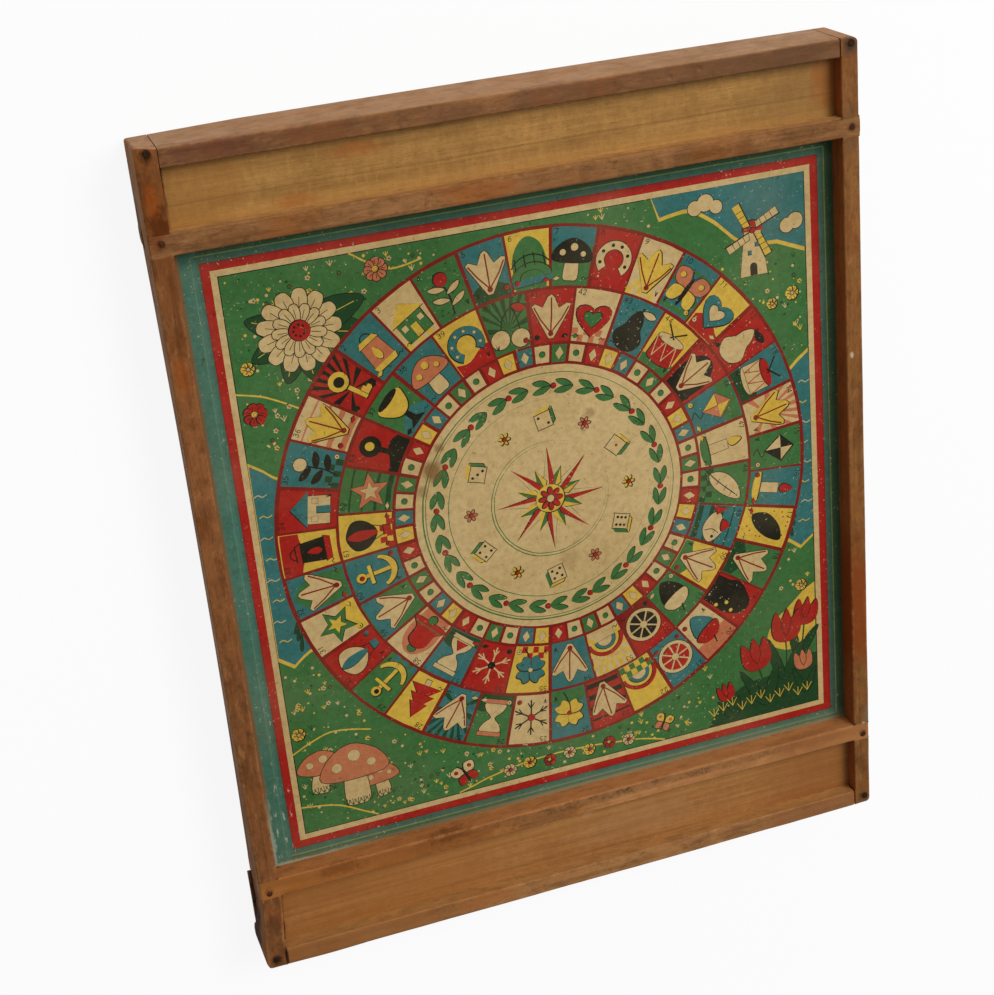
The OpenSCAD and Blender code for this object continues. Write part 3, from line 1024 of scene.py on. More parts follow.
def freedom(co, side, seams):
    """0 where a side of a rail meets another piece, 1 away from there. A seam is an axis and
    a way that is held wherever the point lies between two places along another axis."""
    free = 1.0
    for seam_axis, seam_way, along_axis, lo, hi in seams:
        if (seam_axis, seam_way) == side:
            away = max(lo - co[along_axis], co[along_axis] - hi)
            free = min(free, ramped(away, 0.0, SEAM_REACH))
    return free


def edge_cuts(lo, hi):
    """Places near both ends of a side where the wear of an edge needs more points."""
    return [end + way * d * MM for end, way in ((lo, 1), (hi, -1)) for d in (0.45, 1.0, 1.7)]


# How far the frame has strayed from true, in millimetres: the hollow in the left rail's back, the
# splay of its foot in front and at the back, the top rail's bulge, and the rise of its left end
LEFT_HOLLOW, SPLAY_FRONT, SPLAY_BACK, TOP_BULGE, TOP_LEFT_RISE = 1.9, 2.7, 3.3, 1.25, 1.7
SPLAY_FROM, SPLAY_TO = -192, -226


def strayed(co):
    """How far the frame's outer faces have strayed from true at a point: the left rail is hollow at
    its back and splayed at its foot, the top one bulges there and almost closes its right joint,
    the bottom one leans on the left rail at its back, and the upper left end was cut out of square."""
    x, y, z = co / MM
    back = max(0.0, 1 - z / 32)
    hollow = LEFT_HOLLOW * back * max(0.0, 1 - ((y - 12) / 192) ** 2)
    rise = back * (0.45 + TOP_BULGE * max(0.0, 1 - ((x + 50) / 235) ** 2)) * ramped(x, -205, -130)
    rise += (1 - back) * TOP_LEFT_RISE * ramped(-x, 174.5, 183)
    sag = ramped(-x, -185, -70) + 0.45 * math.exp(-(((x + 150) / 14) ** 2))
    splay = SPLAY_FRONT * (1 - back) * ramped(-y, -SPLAY_FROM, -SPLAY_TO)
    splay += SPLAY_BACK * back * ramped(-y, 203, 223)
    across = hollow * ramped(-x, 174, 184) + 0.35 * ramped(x, 177, 184) - splay * ramped(-x, 120, 172)
    if y > 220 and x < 175:
        across += (0.2 + 0.45 * back) * ramped(x, 170, 174)
    if y < -220 and x > -173.8:
        across -= 0.5 * max(ramped(-z, -30, -20), ramped(-y, 226, 229)) * ramped(-x, 170, 173)
    return Vector((across, rise * ramped(y, 222, 229) - sag * ramped(-y, 222, 229), 0)) * MM


# How far a nail's head sits from its place in the CAD, in millimetres, by the signs of its x and y
NAIL_NUDGES = {
    "corner_nails": {(-1, 1): (0.9, 2.0), (1, 1): (1.4, 1.4), (-1, -1): (0.5, 0.7), (1, -1): (1.6, 0.9)},
    "cross_rail_nails": {
        (-1, 1): (1.6, 1.4), (1, 1): (0.5, 0.0), (-1, -1): (0.4, -2.4), (1, -1): (0.8, -2.0),
    },
}


def nudge(node, x, y, z):
    """How far a nail that was driven in askew is from its place in the CAD at a height."""
    dx, dy = NAIL_NUDGES[node][(1 if x > 0 else -1, 1 if y > 0 else -1)]
    return Vector((dx, dy, 0)) * MM * ramped(z / MM, 8, 29)


def nudged(co):
    """How far the wood at a point goes with a nail that was driven in askew."""
    move = Vector((0, 0, 0))
    for node, spots in NAIL_SPOTS.items():
        for x, y in spots:
            near = 1 - ramped(math.hypot(co.x - x, co.y - y) / MM, 1.2, 4.4)
            if near > 0:
                move += nudge(node, x, y, co.z) * near
    return move


def fork_end(co, lo, hi):
    """Rounds off what stands past the side rails at the end of a fork."""
    past = abs(co.x) - HALF_W
    if past <= 0:
        return Vector((0, 0, 0))
    across = abs(co.y - (lo[1] + hi[1]) / 2) / ((hi[1] - lo[1]) / 2)
    keep = 0.85 * (1 - across ** 4) * (0.6 if co.z < 12 * MM and co.x < 0 else 1.0)
    return Vector((-math.copysign(past * (1 - keep), co.x), 0, 0))


def finer(node, pitch, spots):
    """A mesh of a CAD node, cut into steps and more finely at its edges and near some spots."""
    bm = bmesh.new()
    bm.from_mesh(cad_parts[node].data)
    bmesh.ops.remove_doubles(bm, verts=bm.verts, dist=1e-6)
    bmesh.ops.dissolve_limit(bm, angle_limit=math.radians(1), verts=bm.verts, edges=bm.edges)
    lo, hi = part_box(node)
    for axis in range(3):
        places = steps(lo[axis], hi[axis], pitch[axis] * MM) + edge_cuts(lo[axis], hi[axis])
        if axis < 2:
            near = [(spot[axis] + 0.8 * k) * MM for spot in spots for k in range(-5, 6)]
            places += [p for p in near if lo[axis] < p < hi[axis]]
        cut_across(bm, axis, sorted(places))
    bm.normal_update()
    return bm


def worn_copy(node, pitch=(2.5, 2.5, 2.5), wear=0.25, wave=0.07, dents=(), nails=(), seams=(), seed=0):
    """A finer mesh of a CAD node: its free edges worn back unevenly, its faces gently wavy, with
    dents as (x, y, z, radius, depth) in millimetres, and what the material needs to know about
    worn edges and nail rust in two attributes. A nail is its x, y and the reach of its rust."""
    bm = finer(node, pitch, [d[:2] for d in dents] + [(x / MM, y / MM) for x, y, _ in nails])
    lo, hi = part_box(node)
    shift = Vector((seed * 3.7, seed * 1.3, seed * 0.9))
    worn = bm.verts.layers.float.new("worn")
    rust = bm.verts.layers.float.new("rust")
    moves = []
    for v in bm.verts:
        co = v.co
        gaps = []
        for i in range(3):
            below, above = co[i] - lo[i], hi[i] - co[i]
            gaps.append((min(below, above), i, -1 if below < above else 1))
        gaps.sort()
        free = [freedom(co, (axis, way), seams) for _, axis, way in gaps]
        move = Vector((0, 0, 0))
        near = max(0.0, 1 - math.hypot(gaps[0][0], gaps[1][0]) / EDGE_REACH) * min(free[:2])
        if near > 0:
            patchy = noise.noise(co * 20 + shift) + 0.35 * noise.noise(co * 75 + shift)
            most = wear * MM * (0.35 if co.z < 6 * MM else 1.0)
            corner = max(0.0, 1 - gaps[2][0] / CORNER_REACH) * min(free)
            for depth, sides in ((near * max(0.15, 0.7 + 0.8 * patchy), gaps[:2]), (corner * 0.6, gaps)):
                for _, axis, way in sides:
                    move[axis] -= way * most * depth
            v[worn] = min(1.0, near * max(0.0, 0.75 + 0.9 * patchy))
        if gaps[0][0] < 0.3 * MM:
            move += v.normal * wave * MM * noise.noise(co * 22 + shift * 2) * min(free)
        for x, y, z, radius, depth in dents:
            far = (co / MM - Vector((x, y, z))).length / radius
            if far < 1:
                move -= v.normal * depth * MM * (1 - far * far)
        for x, y, reaches in nails:
            far = math.hypot(co.x - x, co.y - y) / (reaches * MM)
            if far < 1 and co.z > FRONT - 3 * MM:
                v[rust] = max(v[rust], 1 - far)
        if "rail" in node:
            move += strayed(co) + nudged(co)
        if "cross" in node:
            move += fork_end(co, lo, hi)
        moves.append(move)
    for v, move in zip(bm.verts, moves):
        v.co += move
    bmesh.ops.triangulate(bm, faces=[f for f in bm.faces if len(f.verts) > 4])
    bmesh.ops.dissolve_degenerate(bm, dist=1e-7, edges=bm.edges)
    return add_object(node + "_worn", bm, 40)


def nail_spots(node):
    """The middle of each separate nail in a CAD node, in metres."""
    flat = [Vector((v.co.x, v.co.y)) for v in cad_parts[node].data.vertices]
    firsts = []
    for spot in flat:
        if not any((spot - first).length < 12 * MM for first in firsts):
            firsts.append(spot)
    middles = []
    for first in firsts:
        xs, ys = zip(*(spot for spot in flat if (spot - first).length < 12 * MM))
        middles.append(((min(xs) + max(xs)) / 2, (min(ys) + max(ys)) / 2))
    return middles


NAIL_SPOTS = {node: nail_spots(node) for node in ("corner_nails", "cross_rail_nails")}
NAIL_SIDES = 22


def nail_object(name, node, head):
    """Hammered nail heads with their shanks, where the CAD has them. head is a head's radius."""
    rng = random.Random(len(node))
    bm = bmesh.new()
    shank = [(0.2, -24.5), (0.9, -21.5), (0.9, -0.3)]
    dome = [(0.92, -0.2), (1, 0.1), (0.95, 0.32), (0.66, 0.46), (0.33, 0.52)]
    for x, y in NAIL_SPOTS[node]:
        tilt = [Matrix.Rotation(rng.uniform(-0.06, 0.06), 4, axis) for axis in "XY"]
        place = Matrix.Translation((x, y, FRONT - 0.2 * MM)) @ tilt[0] @ tilt[1]
        rings = []
        for r, z in shank + [(head * share, z) for share, z in dome]:
            ring = []
            for k in range(NAIL_SIDES):
                u, v = around(1, 2 * math.pi * k / NAIL_SIDES)
                rough = 0.07 * noise.noise(Vector((x * 900 + u, y * 900 + v, z))) if z > -1 else 0.0
                at = place @ (Vector((r * (1 + rough) * u, r * (1 + rough) * v, z + 0.48 * rough)) * MM)
                ring.append(bm.verts.new(at + nudge(node, x, y, at.z) + strayed(Vector((x, y, at.z)))))
            rings.append(ring)
        for low, high in zip(rings, rings[1:]):
            for k in range(NAIL_SIDES):
                after = (k + 1) % NAIL_SIDES
                bm.faces.new((low[k], low[after], high[after], high[k]))
        bm.faces.new(rings[0][::-1])
        bm.faces.new(rings[-1])
    return add_object(name, bm, 50)


# Materials


class Shader:
    """One node material, with short calls for the nodes that it uses."""

    def __init__(self, name):
        self.material = bpy.data.materials.new(name)
        self.material.use_nodes = True
        self.tree = self.material.node_tree
        self.tree.nodes.clear()
        self.out = self.tree.nodes.new("ShaderNodeOutputMaterial")
        self.bsdf = self.node("ShaderNodeBsdfPrincipled", {})
        self.tree.links.new(self.bsdf.outputs[0], self.out.inputs[0])
        coordinates = self.tree.nodes.new("ShaderNodeTexCoord")
        self.where, self.facing = coordinates.outputs["Object"], coordinates.outputs["Normal"]

    def node(self, kind, inputs, **settings):
        made = self.tree.nodes.new(kind)
        for key, value in settings.items():
            setattr(made, key, value)
        for key, value in inputs.items():
            self.put(made.inputs[key], value)
        return made

    def put(self, socket, value):
        if isinstance(value, bpy.types.NodeSocket):
            self.tree.links.new(value, socket)
        else:
            socket.default_value = value

    def axes(self, vector=None):
        """The three parts of a vector, or of the place on the object."""
        return self.node("ShaderNodeSeparateXYZ", {0: vector or self.where}).outputs

    def scaled(self, scale, offset=(0, 0, 0), turn=0.0):
        inputs = {"Vector": self.where, "Scale": scale, "Location": offset, "Rotation": (0, 0, turn)}
        return self.node("ShaderNodeMapping", inputs).outputs[0]

    def noise(self, scale, detail, rough, offset=(0, 0, 0), twist=0.0, turn=0.0):
        """Noise with so many waves per metre, along each axis or along all of them."""
        vector = self.scaled(scale if isinstance(scale, tuple) else (scale,) * 3, offset, turn)
        inputs = {"Vector": vector, "Scale": 1.0, "Detail": detail, "Roughness": rough, "Distortion": twist}
        return self.node("ShaderNodeTexNoise", inputs).outputs["Fac"]

    def ramp(self, value, low, high, to_low=0.0, to_high=1.0):
        """Value from low to high, stretched to to_low and to_high and held there."""
        inputs = {"Value": value, "From Min": low, "From Max": high, "To Min": to_low, "To Max": to_high}
        return self.node("ShaderNodeMapRange", inputs, clamp=True).outputs[0]

    def math(self, kind, *values):
        return self.node("ShaderNodeMath", dict(enumerate(values)), operation=kind).outputs[0]

    def times(self, value, *factors):
        for factor in factors:
            value = self.math("MULTIPLY", value, factor)
        return value

    def plus(self, value, *others):
        for other in others:
            value = self.math("ADD", value, other)
        return value

    def swing(self, value, reach):
        """Noise made to swing to both sides of nothing."""
        return self.times(self.math("SUBTRACT", value, 0.5), reach)

    def mix(self, factor, a, b, blend="MIX"):
        made = self.node("ShaderNodeMix", {0: factor}, data_type="RGBA", blend_type=blend)
        for socket, colour in ((6, a), (7, b)):
            self.put(made.inputs[socket], rgba(colour) if isinstance(colour, tuple) else colour)
        return made.outputs[2]

    def layers(self, colour, *tints):
        """Tints over a colour, each (tint, value, low, high, most) and perhaps how it blends:
        nothing of it where the value is low and most of it where the value is high."""
        for tint, value, low, high, most, *blend in tints:
            colour = self.mix(self.ramp(value, low, high, 0.0, most), colour, tint, *blend)
        return colour

    def attribute(self, name, output="Fac"):
        return self.node("ShaderNodeAttribute", {}, attribute_name=name).outputs[output]

    def set(self, name, value):
        self.put(self.bsdf.inputs[name], value)

    def done(self, colour, roughness, relief, depth, strength=0.7, shine=0.15):
        """The finished material. roughness is a noise and its least and most; depth is in metres."""
        rough, least, most = roughness
        self.set("Base Color", colour)
        self.set("Roughness", self.ramp(rough, 0.3, 0.7, least, most))
        self.set("Specular IOR Level", shine)
        bump = self.node("ShaderNodeBump", {"Height": relief, "Distance": depth, "Strength": strength})
        self.set("Normal", bump.outputs[0])
        return self.material


def along(axis, lengthwise, across):
    """A noise scale that is stretched along the grain's axis."""
    scale = [across, across, across]
    scale[axis] = lengthwise
    return tuple(scale)


def stain(s, colour, at, radius, tint, strength, squash=(1, 1, 1), ragged=0.5):
    """Lays a blotch with a ragged rim over a colour. Its place and radius are in millimetres."""
    scale = tuple(k / (radius * MM) for k in squash)
    offset = tuple(-at[i] * MM * scale[i] for i in range(3))
    length = s.node("ShaderNodeVectorMath", {0: s.scaled(scale, offset)}, operation="LENGTH").outputs["Value"]
    rough = s.noise(1.6 / (radius * MM), 3, 0.6, (at[0] * 0.1, at[1] * 0.1, 0))
    return s.layers(colour, (tint, s.plus(length, s.swing(rough, ragged * 3)), 1.0, 0.45, strength))


RAIL_EDGE, RAIL_ORANGE, RAIL_GRIME = srgb(168, 118, 74), srgb(140, 74, 24), srgb(62, 40, 26)
DARK, RUST, PALE_VENEER = srgb(60, 34, 16), srgb(34, 22, 15), srgb(196, 146, 78)


def wood(
    name, axis, seed, light, middle, dark=DARK, stains=(), faces=(), sides=(), scuffed=None, shine=0.15,
    rub=0.55, edge=RAIL_EDGE,
):
    """Old stained beech: broad tone, faint growth lines, short flecks, mottling, grime, rubbed
    edges, stains as (place, radius, colour, strength, squash), stretches of another tone as (axis,
    from, to, colour, strength), sides of another tone as (axis, way, colour, strength) with
    a stretch (axis, from, to) if they fade in, and rust round the nails. The sides' tones follow the
    way a face looks and are painted light and shade."""
    s = Shader(name)
    off = (seed * 0.37, seed * 0.73, seed * 0.19)
    broad = s.noise(along(axis, 9, 55), 4, 0.6, off, 0.8)
    lines = s.noise(along(axis, 12, 420), 3, 0.55, off, 0.4)
    flecks = s.noise(along(axis, 330, 1500), 2, 0.6, off)
    mottle = s.noise(70, 5, 0.65, off, 0.5)
    streaks = s.noise(along(axis, 75, 260), 4, 0.7, (off[2], off[0], off[1]), 0.5)
    dirt = s.noise(150, 4, 0.7, off, 0.3)
    pale = s.noise(along(axis, 90, 300), 4, 0.7, (off[1], off[0], off[2]))
    colour = s.layers(
        s.mix(s.ramp(broad, 0.34, 0.66), middle, light),
        (dark, lines, 0.45, 0.72, 0.34),
        (dark, flecks, 0.56, 0.74, 0.4),
        (dark, mottle, 0.48, 0.74, 0.46),
        (dark, streaks, 0.52, 0.72, 0.5),
        (RAIL_EDGE, streaks, 0.44, 0.3, 0.4),
        (RAIL_ORANGE, s.noise(26, 3, 0.6, off), 0.52, 0.7, 0.4),
        (RAIL_GRIME, dirt, 0.58, 0.72, 0.4),
        (RAIL_EDGE, pale, 0.6, 0.74, 0.36),
    )
    for face_axis, start, stop, tint, strength in faces:
        patchy = s.ramp(mottle, 0.3, 0.7, strength, strength * 0.6)
        colour = s.mix(s.times(s.ramp(s.axes()[face_axis], start, stop), patchy), colour, tint)
    facing = s.axes(s.facing)
    # Tones by the way a face looks: painted light and shade on the sides.
    for side_axis, way, tint, strength, *stretch in sides:
        seen = s.ramp(facing[side_axis], 0.45 * way, 0.9 * way)
        if stretch:
            seen = s.times(seen, s.ramp(s.axes()[stretch[0]], *stretch[1:]))
        patchy = s.ramp(mottle, 0.3, 0.7, strength, strength * 0.6)
        grained = s.layers(
            tint, (dark, streaks, 0.44, 0.7, 0.34), (dark, flecks, 0.54, 0.74, 0.36),
            (RAIL_EDGE, lines, 0.42, 0.3, 0.3),
        )
        colour = s.mix(s.times(seen, patchy), colour, grained)
    if scuffed:
        colour = scuffed(s, colour)
    for mark in stains:
        colour = stain(s, colour, *mark)
    fine = s.noise(230, 4, 0.65, off)
    rubbed = s.times(s.ramp(s.attribute("worn"), 0.15, 0.9), s.ramp(fine, 0.4, 0.62), rub)
    colour = s.mix(rubbed, colour, edge)
    rust = s.times(s.attribute("rust"), s.ramp(s.noise(420, 3, 0.6, off), 0.25, 0.7, 0.4, 1.25))
    colour = s.layers(colour, (RUST, rust, 0.16, 0.7, 0.88))
    relief = s.plus(s.times(lines, 0.5), s.times(flecks, 0.35), s.times(dirt, -0.4))
    return s.done(colour, (mottle, 0.44, 0.64), relief, 0.2 * MM, shine=shine)


def scuffed_front(s, colour):
    """Grey rubbing and short dark scratches along the lower cross rail's front arris."""
    x, y, z = s.axes()
    top = LOW_CROSS[1]
    level = s.plus(y, s.swing(s.noise((30, 1, 1), 3, 0.6, (8, 0, 0)), 4 * MM))
    band = s.times(
        s.ramp(level, top - 6.5 * MM, top - 4 * MM), s.ramp(level, top - 0.1 * MM, top - 1.2 * MM),
        s.ramp(z, FRONT - 4 * MM, FRONT - 1 * MM), s.ramp(x, -75 * MM, -20 * MM),
        s.ramp(x, 60 * MM, 150 * MM, 1.0, 0.2),
        s.ramp(s.noise((70, 200, 70), 3, 0.6, (4, 4, 2)), 0.38, 0.6, 0.25, 1.0),
    )
    grey = s.ramp(s.noise((260, 420, 260), 4, 0.7, (6, 1, 3)), 0.36, 0.6, 0.15, 0.8)
    ticks = s.ramp(s.noise((620, 360, 360), 4, 0.75, (2, 5, 1), 1.2), 0.48, 0.6, 0.0, 0.9)
    dots = s.ramp(s.noise(900, 3, 0.7, (5, 5, 1)), 0.55, 0.66, 0.0, 0.7)
    for value, tint in ((grey, srgb(106, 78, 52)), (ticks, srgb(76, 54, 36)), (dots, srgb(56, 40, 28))):
        colour = s.mix(s.times(band, value), colour, tint)
    return colour


# Old stains on the disc in the middle: place, radius in millimetres, and strength
HUB_STAINS = (((-59, 38), 7.5, 0.8), ((-54, 50), 3.6, 0.7), ((-66, 28), 4.0, 0.5), ((30, 52), 4.0, 0.4),
              ((12, -30), 8.0, 0.25))


def print_material():
    """Flat inks on paper, rubbed, specked and stained with age. The paper stops short of the left
    rail, so that a strip of bare board shows there."""
    s = Shader("aged_print")
    x, y, _ = s.axes()
    paper = INKS["paper"]
    colour = s.layers(
        s.attribute("ink", "Color"),
        (srgb(70, 122, 108), x, -162 * MM, -164 * MM, 0.7),
        ((0.55, 0.5, 0.36), s.noise(260, 4, 0.7, (4, 4, 0)), 0.4, 0.66, 0.42, "MULTIPLY"),
        (paper, s.noise(16, 4, 0.6, (0, 3, 0)), 0.45, 0.72, 0.07),
    )
    patches = s.noise(20, 3, 0.6, (7, 2, 0))
    specks = s.noise(640, 2, 0.6, (3, 1, 0))
    lost = s.times(s.ramp(specks, 0.67, 0.71), s.ramp(patches, 0.42, 0.6, 0.15, 1.0), 0.7)
    colour = s.mix(lost, colour, paper)
    corner = s.times(s.ramp(x, -150 * MM, -164 * MM), s.ramp(y, 20 * MM, -150 * MM), 0.12)
    chips = s.ramp(s.plus(s.noise((430, 110, 210), 5, 0.75, (9, 2, 0)), corner), 0.69, 0.75)
    ragged = s.swing(s.noise(130, 4, 0.7, (3, 3, 0)), 6 * MM)
    left_edge = s.ramp(s.plus(x, ragged), -170.7 * MM, -171.8 * MM)
    left_edge = s.times(left_edge, s.ramp(y, -110 * MM, -150 * MM, 0.0, 0.65))
    low_edge = s.ramp(s.plus(y, ragged), -172.4 * MM, -173.5 * MM)
    low_edge = s.times(low_edge, s.ramp(x, -115 * MM, -150 * MM, 0.0, 0.75))
    chips = s.math("MAXIMUM", chips, s.math("MAXIMUM", left_edge, low_edge))
    colour = s.mix(s.times(chips, 0.75), colour, srgb(190, 190, 170))
    rubbed = s.times(s.ramp(y, -166.5 * MM, -169.5 * MM), s.ramp(x, -80 * MM, 0.0, 0.12, 0.4))
    colour = s.mix(rubbed, colour, srgb(106, 130, 110))
    rubbed = s.times(s.ramp(y, -171.8 * MM, -173.0 * MM), s.ramp(x, -120 * MM, -20 * MM, 0.2, 0.6))
    colour = s.mix(rubbed, colour, srgb(156, 128, 94))
    # Painted shade: the top and right edges of the sheet are darkened where the upper cross rail and the
    # right rail shade them.
    colour = s.layers(
        colour,
        ((0.6, 0.76, 0.72), y, 166 * MM, 171 * MM, 1.0, "MULTIPLY"),
        ((0.87, 0.88, 0.84), x, 165 * MM, 169 * MM, 1.0, "MULTIPLY"),
    )
    bare = s.times(s.ramp(x, -170.8 * MM, -171.6 * MM), s.ramp(y, -150 * MM, -125 * MM, 0.0, 0.9))
    colour = s.layers(
        s.mix(bare, colour, srgb(124, 90, 56)),
        ((0.4, 0.3, 0.18), s.noise(380, 3, 0.6, (1, 5, 0)), 0.64, 0.74, 0.7, "MULTIPLY"),
        ((0.66, 0.56, 0.36), s.noise(9, 5, 0.6, (2, 2, 0)), 0.42, 0.72, 0.5, "MULTIPLY"),
    )
    for at, radius, strength in HUB_STAINS:
        colour = stain(s, colour, (*at, PRINT_FACE / MM), radius, srgb(112, 78, 40), strength, ragged=0.3)
    relief = s.plus(s.noise(1500, 3, 0.6), s.times(chips, -1.5))
    return s.done(colour, (patches, 0.42, 0.6), relief, 0.07 * MM, 0.6)


def tray_material(name, light, middle, dark, seed, marks, painted_light_band, open_edge, figure, line_at=None):
    """Thin curly veneer: fine-pored, rippled across the grain by figure, with painted light between two
    heights, with a dark open joint at its left edge that grows between two more, and with a growth line."""
    s = Shader(name)
    x, y, _ = s.axes()
    off = (seed * 0.31, seed * 0.57, seed * 0.11)
    broad = s.noise(along(0, 5, 40), 4, 0.6, off, 0.6)
    curl = s.noise((300, 130, 200), 4, 0.7, turn=0.62)
    fine = s.noise(along(0, 160, 1300), 3, 0.7, off)
    dash = s.noise(along(0, 420, 1800), 2, 0.5, off)
    cloudy = s.noise(30, 5, 0.62, off)
    grain = s.noise(along(0, 7, 300), 4, 0.65, (off[2], off[0], off[1]), 0.3)
    colour = s.layers(
        s.mix(s.ramp(broad, 0.36, 0.64), middle, light),
        (dark, grain, 0.5, 0.7, 0.55 - 0.25 * figure),
        (PALE_VENEER, grain, 0.46, 0.32, 0.5 - 0.25 * figure),
        (dark, curl, 0.46, 0.7, 0.36 * figure),
        (PALE_VENEER, curl, 0.44, 0.3, 0.45 * figure),
        (dark, fine, 0.5, 0.72, 0.32),
        (dark, dash, 0.6, 0.74, 0.5),
        (dark, cloudy, 0.5, 0.76, 0.3),
    )
    if line_at:
        bend = s.swing(s.noise((6, 1, 1), 2, 0.5, off), 4 * MM)
        gap = s.math("ABSOLUTE", s.math("SUBTRACT", s.plus(y, bend), line_at * MM))
        colour = s.layers(colour, (dark, gap, 0.9 * MM, 0.1 * MM, 0.42))
    # Painted light: the veneer is paler between two heights next to the cross rail.
    colour = s.layers(colour, (PALE_VENEER, y, painted_light_band[0] * MM, painted_light_band[1] * MM, painted_light_band[2]))
    for mark in marks:
        colour = stain(s, colour, *mark)
    wobble = s.swing(s.noise((1, 160, 1), 3, 0.6, off), 2 * MM)
    splay = s.ramp(y, SPLAY_FROM * MM, SPLAY_TO * MM, 0.0, SPLAY_FRONT * MM)
    joint = s.ramp(s.plus(x, wobble, splay), LEFT_IN + 2.1 * MM, LEFT_IN + 1.2 * MM)
    joint = s.times(joint, s.ramp(y, open_edge[0] * MM, open_edge[1] * MM, 0.4, 0.9))
    colour = s.mix(joint, colour, srgb(50, 24, 12))
    relief = s.plus(s.times(curl, 0.8), fine, dash)
    return s.done(colour, (cloudy, 0.44, 0.6), relief, 0.08 * MM)


def board_material():
    """Bare pressed board, seen only from the back."""
    s = Shader("pressed_board")
    fibres = s.noise((900, 260, 900), 4, 0.7)
    colour = s.layers(
        srgb(126, 96, 62),
        (srgb(98, 70, 42), s.noise(18, 4, 0.6), 0.35, 0.7, 1.0),
        (srgb(70, 48, 28), fibres, 0.4, 0.7, 0.5),
    )
    return s.done(colour, (fibres, 0.7, 0.9), fibres, 0.12 * MM, shine=0.5)


def iron_material(name, dark, rusty):
    """Oxidised iron with rust in its hollows."""
    s = Shader(name)
    rust = s.noise(700, 4, 0.65)
    return s.done(s.layers(dark, (rusty, rust, 0.4, 0.65, 1.0)), (rust, 0.6, 0.9), rust, 0.1 * MM, 0.8, 0.06)


def dress(obj, material, body, slot, *nodes):
    """Gives a new piece its material and its body, and hides the CAD nodes that it stands for. slot is not
    used.
    """
    obj.data.materials.append(material)
    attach(obj, body)
    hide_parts(*nodes)


def repaint(node, material):
    """A new material on a CAD node that stays."""
    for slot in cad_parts[node].material_slots:
        slot.link = "OBJECT"
        slot.material = material


# Where the rails meet: each seam is an axis and a way that is held between two places on another
ENDS = ((1, END_IN, HALF_H), (1, -HALF_H, -END_IN), (1, *UP_CROSS), (1, *LOW_CROSS))
FORKS = ((0, -1.0, LEFT_IN), (0, RIGHT_IN, 1.0))
BUTTS = [(0, way, 1, -1.0, 1.0) for way in (-1, 1)]

# How far rust reaches from the nails, in millimetres
RUST_REACH = {"corner_nails": 4.6, "cross_rail_nails": 3.6}


def joinery(node):
    """The axis of a rail's grain, the nails in it with the reach of their rust, and its seams."""
    rusty = {kind: [(*spot, RUST_REACH[kind]) for spot in spots] for kind, spots in NAIL_SPOTS.items()}
    if "side" in node:
        way = -1 if "left" in node else 1
        nails = [n for n in rusty["corner_nails"] + rusty["cross_rail_nails"] if n[0] * way > 0]
        return 1, nails, [(0, -way, *stretch) for stretch in ENDS]
    if "cross" in node:
        way = -1 if "lower" in node else 1
        nails = [n for n in rusty["cross_rail_nails"] if n[1] * way > 0]
        return 0, nails, [(1, side, *stretch) for side in (-1, 1) for stretch in FORKS]
    return 0, [], BUTTS


def marks_at(z, *marks):
    """Stains on the plane at a height: (x, y, radius, colour, strength, squash)."""
    return [((x, y, z), *rest) for x, y, *rest in marks]


# Each rail's tones and the marks on its wood in the photograph
STAIN, ORANGE, GREY = srgb(78, 36, 12), srgb(156, 76, 18), srgb(112, 96, 72)
BLEACHED_AND_LIT, LIT_INNER_SIDE, DARK_JOINT_AND_SHADE = srgb(162, 115, 68), srgb(154, 80, 36), srgb(34, 20, 12)
LONG, WIDE, ROUND = (1, 0.35, 1), (0.3, 1, 1), (1, 1, 1)
CRACK, FLAT, THIN = (1, 0.12, 1), (1, 0.5, 1), (0.25, 1, 1)
# The top sides are paler partly from bleaching and partly as painted light from above.
TOP_SIDE = (1, 1, BLEACHED_AND_LIT, 0.95)
# Heights of the marks on rails and tray floors, in millimetres
RAIL_FACE, TRAY_FACE = 32, 23
